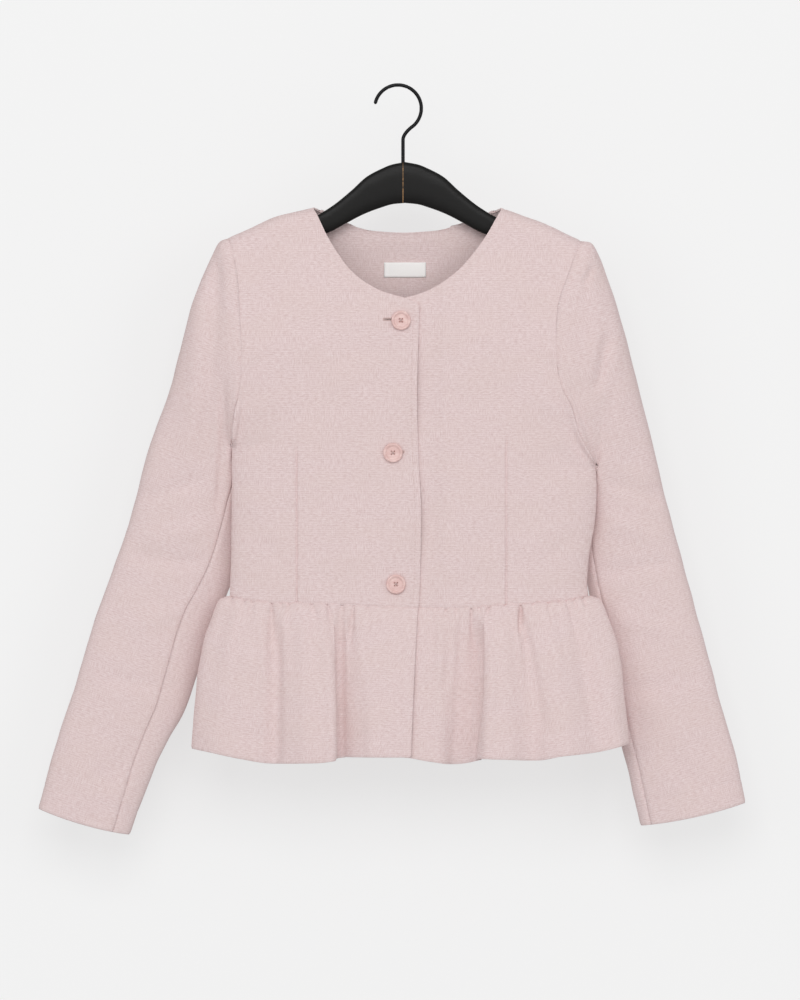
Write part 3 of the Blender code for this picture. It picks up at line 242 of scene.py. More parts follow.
# Hanger: thickness of the wood, and its edges as distance from its middle, height
HANGER_MIDDLE = 4.0
HANGER_THICK = 12.0
ARM_THINNING = 3.5          # the arms are thinner than the middle by this much
THINNING_FROM = 95.0        # distance from the middle where that starts, and its length
THINNING_OVER = 55.0
END_CLOSING = 0.35          # share by which the sections close up towards the arms' ends
END_ROUNDING = 7.0          # length over which an arm's end is rounded off
SEAT_SLANT = 1.07           # height of the cloth's wall over its thickness on the slope
HANGER_REACH = 167.0
HANGER_TOP = (
    (0.0, -75.0), (13.0, -77.5), (23.0, -81.5), (38.0, -89.5), (53.0, -103.0), (70.0, -117.0),
    (82.0, -125.0), (91.0, -130.0), (104.0, -134.5), (120.0, -138.0), (145.0, -142.0),
    (167.0, -148.0),
)
HANGER_FOOT = (
    (0.0, -116.0), (12.0, -117.2), (25.0, -121.0), (36.0, -125.0), (45.0, -129.0),
    (60.0, -137.0), (75.0, -145.0), (95.0, -152.0), (120.0, -157.5), (145.0, -161.0),
    (167.0, -162.5),
)
HANGER_ROWS = 281
HANGER_SIDES = 56
HANGER_SECTION_POWER = 4.0  # a rounded rectangle
ARM_SEAT = 1.3              # space between the arm's top and the shoulder it carries
SEAT_FROM = 128.0           # distance from the middle where the arm starts to rise to it
SEAT_FULL = 152.0

# Hook: bent wire
WIRE_RADIUS = 1.8
WIRE_TIP = 1.6              # length over which the tip is rounded
HOOK_ROWS = 220
HOOK_INNER_RADIUS = 21.5
HOOK_MIDDLE_X = -3.0
HOOK_TIP_ANGLE = 170.0
HOOK_END_ANGLE = -47.0
HOOK_STEPS = 26
SHANK_X = 2.0
BEND_TOP = -42.0
BEND_FOOT = -53.0
BEND_LEAD = 4.5             # how far above its top the bend's corner lies
BEND_STEPS = 7
SHANK_RING = -64.0
SHANK_FOOT = -93.0

# Cloth of the looks, in millimetres
CLOTH = 1.8                 # thickness of one shell
SEAM_DEPTH = 0.8            # how far a seam draws the cloth in, and over what distance
SEAM_WIDTH = 1.7
SEAM_LIFT = 0.25            # the turned allowances lift the cloth just beside it
SEAM_LIFT_AT = 4.5
SEAM_LIFT_WIDTH = 2.6
EDGE_DEPTH = 0.7            # a turned edge rounds off by this much
EDGE_WIDTH = 1.5
# Pressed or stitched line inside a turned edge: distance, depth, half width
NECK_PRESSED = (9.0, 0.4, 0.9)
EDGE_PRESSED = (6.0, 0.35, 0.8)
CUFF_PRESSED = (24.0, 0.3, 1.6)
HEM_PRESSED = (22.0, 0.25, 1.8)
BUTTON_DIMPLE = 0.8         # each button pulls the cloth in round itself
EDGE_LIFT = 3.2             # between two buttons the front edge stands off
EDGE_LIFT_REACH = 13.0
DART_DEPTH = 1.6
DART_PUFF = 0.5             # the cloth stands out a little round a dart's point
CAP_LIFT = 0.5              # the cap's fullness lifts it just below the armhole seam
SLEEVE_TUCK = 1.5           # a sleeve starts this far behind the body's edge
SLEEVE_CREASE = 1.7         # factor on the depths of the sleeves' creases
CORNER_RADIUS = 4.0         # of the peplum's lower front corner
CREASE_BOW = 0.06           # share of its length by which a crease bows
CREASE_FADE = 0.3           # and over which each of its ends fades
FOLD_START = 36.0           # a fallen fold grows over this drop
FOLD_EDGE = 2.2             # width of its edge
UNEVEN_FRONT = 0.28         # depths of the slow waves
UNEVEN_BACK = 0.3
UNEVEN_SLEEVE = 0.35
UNEVEN_PEPLUM = 0.4
# Slow waves over all the cloth: length, direction in radians, phase, share
UNEVEN = (
    (61.0, 0.4, 0.3, 0.5), (43.0, 1.9, 1.7, 0.4), (83.0, 2.6, 4.1, 0.7), (29.0, 1.1, 2.9, 0.22),
    (37.0, 2.9, 5.2, 0.25), (23.0, 0.1, 0.8, 0.12),
)
# Darts: x, height of the point, height of the foot
DART_RIGHT = (-104.0, -353.0, -517.0)
DART_LEFT = (105.0, -341.0, -519.0)
DARTS_BACK = ((-78.0, -330.0, -518.0), (86.0, -334.0, -520.0))
# Creases: x, height at one end, the same at the other, half width, depth (a ridge is positive)
CREASES_RIGHT = (
    (-164.0, -318.0, -168.5, -354.0, 4.0, 1.2),
    (-160.0, -290.0, -128.0, -268.0, 7.0, -1.2), (-164.0, -330.0, -118.0, -312.0, 9.0, 0.7),
    (-166.0, -372.0, -134.0, -352.0, 6.0, -1.0), (-150.0, -176.0, -120.0, -236.0, 12.0, -0.9),
    (-96.0, -250.0, -52.0, -300.0, 16.0, 0.9), (-160.0, -440.0, -120.0, -470.0, 9.0, -0.9),
    (-70.0, -400.0, -40.0, -480.0, 14.0, 0.6), (-88.0, -486.0, -58.0, -498.0, 6.0, -0.7),
    (2.0, -262.0, -34.0, -300.0, 9.0, -0.6), (-6.0, -392.0, -30.0, -420.0, 8.0, -0.5),
    (-2.0, -300.0, 6.0, -345.0, 8.0, 0.5),
)
CREASES_LEFT = (
    (167.0, -312.0, 192.0, -370.0, 4.0, 1.5),
    (160.0, -286.0, 126.0, -266.0, 7.0, -1.2), (168.0, -330.0, 124.0, -306.0, 9.0, 0.8),
    (186.0, -388.0, 150.0, -362.0, 7.0, -1.2), (152.0, -178.0, 124.0, -240.0, 12.0, -0.9),
    (92.0, -246.0, 56.0, -300.0, 16.0, 0.9), (180.0, -446.0, 140.0, -474.0, 9.0, -0.9),
    (76.0, -398.0, 48.0, -480.0, 14.0, 0.6), (92.0, -488.0, 60.0, -500.0, 6.0, -0.7),
    (40.0, -268.0, 60.0, -310.0, 9.0, -0.5),
)
CREASES_BACK = (
    (-158.0, -280.0, -120.0, -258.0, 8.0, -1.1), (-150.0, -360.0, -100.0, -338.0, 10.0, 0.8),
    (156.0, -276.0, 122.0, -256.0, 8.0, -1.1), (176.0, -372.0, 112.0, -340.0, 10.0, 0.8),
    (-60.0, -158.0, 66.0, -156.0, 10.0, -0.7), (-40.0, -470.0, 34.0, -478.0, 9.0, -0.9),
    (-90.0, -430.0, -40.0, -442.0, 8.0, -0.6), (96.0, -436.0, 44.0, -448.0, 8.0, -0.6),
    (-110.0, -190.0, -96.0, -300.0, 16.0, -0.8), (118.0, -194.0, 104.0, -300.0, 16.0, -0.8),
    (2.0, -200.0, 6.0, -420.0, 20.0, 0.7),
)
CREASES_SLEEVE_RIGHT = (
    (-165.0, -312.0, -170.0, -356.0, 5.0, -0.7),
    (-185.0, -163.0, -198.0, -373.0, 9.0, -2.0), (-200.0, -200.0, -214.0, -360.0, 11.0, 0.9),
    (-178.0, -297.0, -183.0, -419.0, 4.5, -1.6), (-196.0, -392.0, -262.0, -412.0, 8.0, -1.0),
    (-192.0, -440.0, -256.0, -450.0, 10.0, 0.8), (-200.0, -476.0, -268.0, -468.0, 8.0, -1.0),
    (-214.0, -520.0, -276.0, -540.0, 9.0, 0.8), (-226.0, -600.0, -300.0, -590.0, 9.0, -0.7),
    (-252.0, -640.0, -300.0, -700.0, 11.0, -0.7),
)
CREASES_SLEEVE_RIGHT_BACK = (
    (-188.0, -170.0, -202.0, -360.0, 9.0, -1.6), (-190.0, -400.0, -256.0, -420.0, 8.0, -1.3),
    (-196.0, -446.0, -262.0, -456.0, 9.0, 0.9), (-206.0, -492.0, -268.0, -482.0, 8.0, -1.1),
    (-230.0, -590.0, -296.0, -580.0, 10.0, -0.7),
)
CREASES_SLEEVE_LEFT = (
    (168.0, -300.0, 195.0, -370.0, 4.5, -1.2), (182.0, -296.0, 206.0, -366.0, 12.0, -1.0),
    (206.0, -251.0, 196.0, -301.0, 6.0, -2.3), (192.0, -180.0, 182.0, -198.0, 4.0, -1.2),
    (196.0, -200.0, 210.0, -290.0, 10.0, 0.9), (199.0, -172.0, 210.0, -330.0, 9.0, -1.2),
    (208.0, -396.0, 258.0, -412.0, 8.0, -1.1), (206.0, -436.0, 262.0, -452.0, 9.0, 0.8),
    (206.0, -486.0, 270.0, -476.0, 8.0, -1.0), (214.0, -532.0, 280.0, -548.0, 9.0, 0.8),
    (226.0, -604.0, 296.0, -594.0, 9.0, -0.7), (244.0, -640.0, 296.0, -700.0, 11.0, -0.7),
)
CREASES_SLEEVE_LEFT_BACK = (
    (194.0, -176.0, 208.0, -356.0, 9.0, -1.5), (202.0, -404.0, 256.0, -424.0, 8.0, -1.2),
    (204.0, -450.0, 264.0, -462.0, 9.0, 0.9), (210.0, -498.0, 272.0, -488.0, 8.0, -1.1),
    (230.0, -594.0, 294.0, -584.0, 10.0, -0.7),
)
CREASES_PEPLUM_RIGHT = (
    (-126.0, -535.0, -127.0, -690.0, 6.5, -4.0), (-137.0, -545.0, -141.0, -690.0, 6.0, 2.0),
    (-100.0, -540.0, -96.0, -690.0, 12.0, 1.6), (-48.0, -524.0, -54.0, -566.0, 2.0, -1.0),
    (-150.0, -560.0, -164.0, -680.0, 10.0, 1.4), (-70.0, -560.0, -69.0, -700.0, 5.0, 2.0),
)
CREASES_PEPLUM_LEFT = (
    (72.0, -535.0, 60.0, -700.0, 9.0, -7.0), (90.0, -545.0, 81.0, -700.0, 6.0, 2.6),
    (119.5, -520.0, 118.5, -546.0, 1.5, -2.6), (124.0, -540.0, 140.0, -640.0, 6.0, -2.4),
    (104.0, -545.0, 108.0, -690.0, 11.0, 1.8), (28.0, -540.0, 22.0, -640.0, 9.0, -1.4),
    (166.0, -530.0, 192.0, -640.0, 6.0, -1.8), (150.0, -560.0, 158.0, -690.0, 12.0, 1.2),
    (50.0, -540.0, 44.0, -600.0, 5.0, -1.6),
)
CREASES_PEPLUM_BACK = (
    (-120.0, -540.0, -128.0, -690.0, 7.0, -2.6), (-70.0, -540.0, -66.0, -690.0, 7.0, -2.8),
    (-6.0, -535.0, -8.0, -690.0, 7.0, -2.6), (66.0, -540.0, 60.0, -690.0, 7.0, -2.9),
    (126.0, -540.0, 140.0, -690.0, 7.0, -2.6), (30.0, -550.0, 28.0, -690.0, 10.0, 1.8),
    (-96.0, -550.0, -98.0, -690.0, 10.0, 1.8), (96.0, -550.0, 104.0, -690.0, 10.0, 1.8),
)
# Where a fold falls over the cloth beside it: its path, the side on which it falls, depth, reach
OVERLAPS_RIGHT = (
    ((-73.5, -523.0), (-66.5, -545.0), (-65.0, -680.0), 1.0, 5.5, 16.0),
)
OVERLAPS_LEFT = (
    ((83.0, -525.0), (81.5, -612.0), (71.5, -680.0), -1.0, 9.0, 15.0),
)
OVERLAPS_BACK = (
    ((-62.0, -540.0), (-58.0, -600.0), (-56.0, -680.0), -1.0, 5.0, 15.0),
    ((52.0, -540.0), (50.0, -600.0), (46.0, -680.0), 1.0, 5.0, 15.0),
)
PUCKER_DEPTH = 1.7          # factor on the depths of the next tables
# Puckers under the waist seam: x at the seam, x at the foot, length, depth
PUCKERS_RIGHT = (
    (-168.0, -172.0, 15.0, 1.2), (-155.5, -160.0, 19.0, 1.3), (-148.0, -151.0, 26.0, 1.3),
    (-129.0, -129.5, 60.0, 1.6), (-120.0, -118.5, 20.0, 1.1), (-111.5, -114.0, 15.0, 1.5),
    (-97.5, -96.5, 10.0, 0.9), (-90.0, -84.0, 20.0, 1.4), (-74.0, -68.0, 26.0, 1.6),
    (-59.0, -57.5, 14.0, 1.0), (-47.0, -52.0, 40.0, 1.1), (-33.0, -34.0, 16.0, 1.0),
    (-23.0, -23.0, 10.0, 0.7),
)
PUCKERS_LEFT = (
    (24.0, 23.5, 14.0, 0.8), (35.0, 34.0, 9.0, 0.6), (45.0, 43.5, 18.0, 1.3),
    (55.0, 54.0, 22.0, 1.1), (70.0, 71.0, 44.0, 1.6), (78.0, 79.0, 16.0, 1.0),
    (88.5, 82.0, 24.0, 1.6), (103.0, 104.0, 11.0, 0.8), (119.5, 119.0, 30.0, 1.5),
    (131.5, 133.0, 18.0, 1.1), (146.5, 150.0, 27.0, 1.3), (156.5, 160.0, 16.0, 1.2),
    (171.5, 178.0, 24.0, 1.3), (181.0, 187.0, 28.0, 1.2), (164.0, 196.0, 110.0, 0.9),
)
PUCKERS_BACK = tuple(
    (-160.0 + 11.3 * k + 3.5 * math.sin(2.3 * k), -163.0 + 11.9 * k + 4.0 * math.sin(2.3 * k),
     26.0 + 13.0 * math.sin(1.7 * k), 1.3 + 0.4 * math.sin(2.9 * k + 1.0))
    for k in range(30)
)

# Button in detail: face, rim and back as distance from the middle, height above the back
BUTTON_RIM = ((5.6, 1.9), (6.2, 1.93), (6.7, 2.2), (7.2, 2.7), (7.7, 3.06), (8.2, 3.2),
              (8.7, 3.14), (9.2, 2.85), (9.55, 2.4), (9.7, 1.9), (9.55, 1.35), (9.1, 0.9),
              (8.0, 0.4), (6.8, 0.05), (3.0, 0.0), (0.02, 0.0))
BUTTON_STEPS = 96
BUTTON_FACE_STEPS = 36
BUTTON_RIM_STEPS = 34
HOLE_DEPTH = 1.75
THREAD_BESIDE = 0.28        # the cross is of two threads each way, this far from its middle
THREAD_SINK = 1.1           # they come out of the holes from this far below the face
THREAD_RADIUS = 0.2
HOLE_STITCH = 0.62          # from one stitch of a buttonhole to the next
# Buttonholes: first x, last x, height
BUTTONHOLES = {
    "buttonhole_top": (-17.5, -8.0, -232.8),
    "buttonhole_middle": (-12.0, 3.0, -365.0),
}
EDGE_STITCHED = (-519.0, -224.0)    # heights between which the front edge is stitched
EDGE_STITCH = (3.4, 2.3, 0.24)      # spacing, length and thickness of those stitches

# Cut of each sheet of cloth: width, length, and the share of both together that is cut
SHEETS = {
    "front_right": (190.0, 400.0, 0.86),
    "front_left": (215.0, 400.0, 0.86),
    "back": (375.0, 405.0, 0.92),
    "sleeve_top_right": (215.0, 610.0, 0.75),
    "sleeve_under_right": (105.0, 400.0, 0.75),
    "sleeve_top_left": (215.0, 610.0, 0.75),
    "sleeve_under_left": (80.0, 400.0, 0.75),
    "peplum_front_right": (250.0, 150.0, 0.95),
    "peplum_front_left": (290.0, 150.0, 0.95),
    "peplum_back": (500.0, 150.0, 0.95),
}

# Spacing of threads in millimetres.  Threads finer than about 2 mm would not show at the
# photograph's size, so the tweed's wefts are drawn that far apart.
WEFT_SPACING = 2.1
TAPE_SPACING = 0.524

# Stage, in metres
WALL_Y = 0.1
WALL_CODE = "919191"
WALL_GLOW = 0.62            # the wall is lit evenly, so shadows on it stay faint
WALL_REACH = (4.0, 3.0)     # half its width and height
CAMERA_AT = (-0.001, -8.0, -0.413)
VIEW_HEIGHT = 1.0           # of the photograph in the jacket's plane
SENSOR = 36.0
WORLD_LIGHT = 0.52
LIGHTS = (                  # place, size, power in watts
    ((-0.3, -6.3, 2.2), 3.6, 160.0),
    ((3.4, -4.4, 0.6), 2.6, 34.0),
    ((-3.4, -4.4, 0.2), 2.6, 24.0),
)

UP = np.array((0.0, 0.0, 1.0))
TO_FRONT = np.array((0.0, -1.0, 0.0))


# Curves through the tables

def smooth(table, at):
    """Cubic through a table's (position, value) rows, with no overshoot between them."""
    rows = np.array(sorted(table), float)
    x, y = rows[:, 0], rows[:, 1]
    step = np.diff(x)
    slope = np.diff(y) / step
    tangent = np.empty_like(y)
    tangent[0], tangent[-1] = slope[0], slope[-1]
    product = slope[:-1] * slope[1:]
    total = slope[:-1] + slope[1:]
    safe = np.where(np.abs(total) > 1e-9, total, 1.0)
    tangent[1:-1] = np.where(product > 0.0, 2.0 * product / safe, 0.0)
    place = np.clip(at, x[0], x[-1])
    k = np.clip(np.searchsorted(x, place, side="right") - 1, 0, len(x) - 2)
    t = (place - x[k]) / step[k]
    return ((2 * t**3 - 3 * t**2 + 1) * y[k] + (t**3 - 2 * t**2 + t) * step[k] * tangent[k]
            + (3 * t**2 - 2 * t**3) * y[k + 1] + (t**3 - t**2) * step[k] * tangent[k + 1])


def run_along(rows):
    """Distance run along a path of (x, height) rows, from the first to each of them."""
    return np.concatenate(([0.0], np.cumsum(np.hypot(*np.diff(rows, axis=0).T))))


def along(path, share):
    """Points of a path of (x, height) rows at the given shares of its length."""
    rows = np.array(path, float)
    run = run_along(rows)
    at = np.asarray(share, float) * run[-1]
    return np.stack([smooth(list(zip(run, rows[:, k])), at) for k in (0, 1)], axis=-1)


def wave(values, at):
    """Smooth wave through evenly spaced values, read at fractional places."""
    y = np.asarray(values, float)
    k = np.clip(np.floor(at).astype(int), 0, len(y) - 2)
    t = at - k
    before = y[np.maximum(k - 1, 0)]
    after = y[np.minimum(k + 2, len(y) - 1)]
    here, there = y[k], y[k + 1]
    return 0.5 * (2 * here + (there - before) * t
                  + (2 * before - 5 * here + 4 * there - after) * t**2
                  + (3 * here - before - 3 * there + after) * t**3)


def ease(t):
    """Smooth step from 0 to 1."""
    t = np.clip(t, 0.0, 1.0)
    return t * t * (3.0 - 2.0 * t)


def section(distance, half_width):
    """Share of full depth at a distance from the side of a rounded section."""
    inward = 1.0 - np.clip(distance / half_width, 0.0, 1.0)
    return (1.0 - inward**SECTION_POWER) ** (1.0 / SECTION_POWER)


def bell(distance, width):
    """Soft bump that is one at no distance and fades over a width."""
    return np.exp(-(distance / width) ** 2)


# The body's shape

def ridge(x):
    """Height of the line that the shoulders make over the hanger, carried on over the neck."""
    right = np.array(SHOULDER_RIGHT)
    left = np.array(SHOULDER_LEFT)
    rise_right = (right[3, 1] - right[0, 1]) / (right[3, 0] - right[0, 0])
    rise_left = (left[3, 1] - left[0, 1]) / (left[3, 0] - left[0, 0])
    over_right = right[3, 1] + rise_right * (x - right[3, 0])
    over_left = left[3, 1] + rise_left * (x - left[3, 0])
    height = np.minimum(over_right, over_left)
    height = np.where(x < right[3, 0], smooth(SHOULDER_RIGHT, x), height)
    return np.where(x > left[3, 0], smooth(SHOULDER_LEFT, x), height)


def depth_below(drop, full):
    """Depth of the cloth at a drop below the ridge: a round roll, then a slow filling out."""
    roll = 1.0 - np.clip(drop / SHOULDER_ROLL, 0.0, 1.0)
    round_part = SHOULDER_ROLL * np.sqrt(np.maximum(1.0 - roll * roll, 0.0))
    return round_part + (full - SHOULDER_ROLL) * ease(drop / ROLL_EASE)


def side_column(side, underarm):
    """Rows of (x, height) up a side seam and its armhole, and the armhole's roundness."""
    foot, top = side[0][0], side[-1][0]
    low = foot + (underarm - foot) * gathered(BODY_ROWS, 0.0)[:-1]
    turn = np.pi * np.arange(ARM_ROWS + 1) / ARM_ROWS
    arm = underarm + (top - underarm) * (1.0 - np.cos(turn)) / 2.0
    height = np.concatenate((low, arm))
    round_share = np.concatenate((np.zeros(BODY_ROWS), np.maximum(np.sin(turn), 0.0)))
    return np.stack([smooth(side, height), height], axis=-1), round_share


def armhole_share(round_share, inward):
    """Share of the armhole's depth that a panel keeps at a distance inward from it.

    It is a power of the armhole's own round share.  The power grows beside the lower half,
    where the panel grows smooth, and right up to the seam at the armhole's very foot.
    """
    lower = np.arange(len(round_share)) < BODY_ROWS + ARM_ROWS // 2
    at_foot = ease(inward / FOOT_FADE) * ease(1.0 - round_share / FOOT_SHARE)
    grown = np.maximum(ease(inward / ARMHOLE_FADE), at_foot)
    power = ARMHOLE_POWER + ARMHOLE_SMOOTHING * grown * lower[:, None]
    return np.where(round_share > 0.0, np.maximum(round_share, 1e-9) ** power, 0.0)


def patch(first, last, foot, top):
    """Flat patch between two columns and two rows, blended from all four."""
    rise = (first[:, 1] - first[0, 1]) / (first[-1, 1] - first[0, 1])
    rise = rise[:, None, None]
    reach = (foot[:, 0] - foot[0, 0]) / (foot[-1, 0] - foot[0, 0])
    reach = reach[None, :, None]
    plain = first[:, None] * (1.0 - reach) + last[:, None] * reach
    foot_bow = foot[None] - (foot[0] * (1.0 - reach[0]) + foot[-1] * reach[0])[None]
    top_bow = top[None] - (top[0] * (1.0 - reach[0]) + top[-1] * reach[0])[None]
    return plain + (1.0 - rise) * foot_bow + rise * top_bow


def gathered(count, *places):
    """Shares from 0 to 1 that lie closer together around the given places."""
    t = np.linspace(0.0, 1.0, 4001)
    crowd = 1.0 + sum(4.0 * bell(t - place, 0.035) for place in places)
    run = np.concatenate(([0.0], np.cumsum(0.5 * (crowd[1:] + crowd[:-1]))))
    return np.interp(np.linspace(0.0, run[-1], count + 1), run, t)


def shoulder_row(shoulder, spread):
    """Points of a shoulder seam from the armhole to the neck."""
    x = shoulder[0][0] + (shoulder[-1][0] - shoulder[0][0]) * spread
    return np.stack([x, smooth(shoulder, x)], axis=-1)


def front_panel(side, underarm, shoulder, neck, edge, dart, lapped):
    """Outer grid of one front: rows up from the waist, columns from the side seam."""
    outer, armhole = side_column(side, underarm)
    dart_place = (dart[0] - side[0][1]) / (edge[0][1] - side[0][1])
    spread = gathered(PANEL_COLUMNS, 0.0, dart_place, 1.0)
    corner = neck[0][1]
    waist_height = smooth(WAIST, edge[0][1])
    level = (outer[:CORNER_ROW + 1, 1] - outer[0, 1]) / (outer[CORNER_ROW, 1] - outer[0, 1])
    height = waist_height + (corner - waist_height) * level
    straight = np.stack([smooth(edge, height), height], axis=-1)
    steps = BODY_ROWS + ARM_ROWS - CORNER_ROW
    curve = along(neck, np.sin(0.5 * np.pi * np.arange(1, steps + 1) / steps))
    centre = np.concatenate((straight, curve))
    foot_x = outer[0, 0] + (centre[0, 0] - outer[0, 0]) * spread
    foot = np.stack([foot_x, smooth(WAIST, foot_x)], axis=-1)
    flat = patch(outer, centre, foot, shoulder_row(shoulder, spread))
    x, z = flat[..., 0], flat[..., 1]
    half_width = np.abs(outer[:, :1] - HANGER_MIDDLE)
    full = -depth_below(ridge(x) - z, CHEST_FRONT)
    inward = np.abs(x - outer[:, :1])
    start = -ARMHOLE_FRONT * armhole_share(armhole[:, None], inward)
    y = start + (full - start) * section(inward, half_width)
    y[-1] = 0.0
    if lapped:
        y = y + lap_depth(x)
    return np.stack([x, y, z], axis=-1)


def lap_depth(x):
    """How far the under front lies behind the upper one, where the two lap."""
    return (WALL + LAP_CLEAR) * ease((LAP_REACH - x) / (LAP_REACH - LAP_FULL))


def back_panel():
    """Outer grid of the back: rows up from the waist, columns from right to left side."""
    right, arm_right = side_column(SIDE_RIGHT, UNDERARM_RIGHT)
    left, arm_left = side_column(SIDE_LEFT, UNDERARM_LEFT)
    neck_turn = np.pi * np.arange(1, NECK_COLUMNS) / NECK_COLUMNS
    neck = along(NECK_BACK, (1.0 - np.cos(neck_turn)) / 2.0)
    spread = gathered(SHOULDER_COLUMNS, 0.0)
    top = np.concatenate((shoulder_row(SHOULDER_RIGHT, spread), neck,
                          shoulder_row(SHOULDER_LEFT, spread)[::-1]))
    reach = (top[:, 0] - top[0, 0]) / (top[-1, 0] - top[0, 0])
    foot_x = right[0, 0] + (left[0, 0] - right[0, 0]) * reach
    foot = np.stack([foot_x, smooth(WAIST, foot_x)], axis=-1)
    flat = patch(right, left, foot, top)
    x, z = flat[..., 0], flat[..., 1]
    half_width = 0.5 * (left[:, :1] - right[:, :1])
    full = depth_below(ridge(x) - z, CHEST_BACK)
    near_right = np.abs(x - right[:, :1])
    near_left = np.abs(x - left[:, :1])
    inward = np.minimum(near_right, near_left)
    armhole = np.where(near_right < near_left, arm_right[:, None], arm_left[:, None])
    start = ARMHOLE_BACK * armhole_share(armhole, inward)
    y = start + (full - start) * section(inward, half_width)
    y[-1, :SHOULDER_COLUMNS + 1] = 0.0
    y[-1, -SHOULDER_COLUMNS - 1:] = 0.0
    return np.stack([x, y, z], axis=-1)


# Sleeves

def sleeve_rings(side, underarm, outer, inner):
    """Rings down a sleeve from the armhole: front half first, then the back half.

    A ring lies across the sleeve between its inner and outer edge, and swells to the
    front and back with the sine of its angle.  The first ring is the armhole itself.
    """
    column, _ = side_column(side, underarm)
    hole = column[BODY_ROWS:]
    share = gathered(SLEEVE_ROWS, 0.0, 1.0)
    start, end = along(inner, share**INNER_POWER), along(outer, share)
    angle = np.pi * np.arange(ARM_ROWS + 1) / ARM_ROWS
    return share, start, end, hole, angle


def sleeve_surface(rings, share_grid, angle_grid, hole_grid):
    """Points of a sleeve at shares of its length and angles from its inner edge."""
    share, start, end, hole, _ = rings
    inner_x, inner_z, outer_x, outer_z = (np.interp(share_grid, share, edge[:, k])
                                          for edge in (start, end) for k in (0, 1))
    across = (1.0 - np.cos(angle_grid)) / 2.0
    x = inner_x + (outer_x - inner_x) * across
    z = inner_z + (outer_z - inner_z) * across
    straight_x = hole[0, 0] + (hole[-1, 0] - hole[0, 0]) * across
    fade = np.clip(1.0 - share_grid / CAP_SHARE, 0.0, 1.0) ** 2
    x = x + (hole_grid - straight_x) * fade
    z = z - CUFF_SAG * np.sin(angle_grid) ** 2 * share_grid**4
    round_share = np.abs(np.sin(angle_grid)) ** ARMHOLE_POWER
    rows = np.array(SLEEVE_DEPTH)
    middle, front, back = (smooth(rows[:, (0, k)].tolist(), share_grid) for k in (1, 2, 3))
    swell = np.where(np.sin(angle_grid) >= 0.0, -front, back) * round_share
    tuck = smooth(INNER_TUCK, share_grid) * (1.0 - across) ** 2
    return np.stack([x, middle + swell + tuck, z], axis=-1)


def sleeve_pieces(side, underarm, outer, inner, seam_front):
    """Outer grids of a sleeve's top and under piece, rows down from the armhole."""
    rings = sleeve_rings(side, underarm, outer, inner)
    share = rings[0]
    step = np.pi / ARM_ROWS
    turned = np.radians(smooth(seam_front, share))
    settled = ease(share / SEAM_SETTLES)
    front = UNDER_FRONT * step * (1.0 - settled) + turned
    behind = UNDER_BACK * step * (1.0 - settled) + np.radians(smooth(SEAM_BEHIND, share))
    top_angles = np.arange(UNDER_FRONT, 2 * ARM_ROWS - UNDER_BACK + 1) * step
    under_angles = np.arange(-UNDER_BACK, UNDER_FRONT + 1) * step
    pieces = []
    for angles, first, last in ((top_angles, front, 2 * np.pi - behind),
                                (under_angles, -behind, front)):
        place = (angles - angles[0]) / (angles[-1] - angles[0])
        spread = first[:, None] + (last - first)[:, None] * place[None]
        angle_grid = (angles[None] * (1.0 - settled[:, None])
                      + spread * settled[:, None])
        share_grid = np.broadcast_to(share[:, None], angle_grid.shape)
        folded = np.abs((angle_grid + np.pi) % (2 * np.pi) - np.pi)
        hole_x = np.interp(folded, rings[4], rings[3][:, 0])
        pieces.append(sleeve_surface(rings, share_grid, angle_grid, hole_x))
    return pieces


# Peplum

def back_folds():
    """Rows of folds behind: even gathers, and fewer, broader folds at the hem."""
    steps = 2 * BACK_GATHERS
    rows = []
    for k in range(steps + 1):
        share = k / steps
        fade = min(1.0, share / BACK_FADE, (1.0 - share) / BACK_FADE)
        waist_x = WAIST[-1][0] + (WAIST[0][0] - WAIST[-1][0]) * share
        hem_x = HEM[-1][0] + (HEM[0][0] - HEM[-1][0]) * share
        gather = BACK_GATHER_DEPTH * (1 if k % 2 else -1) * fade
        fold = BACK_FOLD_DEPTH * math.sin(2 * math.pi * BACK_FOLDS * share) * fade
        rows.append((waist_x, hem_x, gather, fold))
    return rows


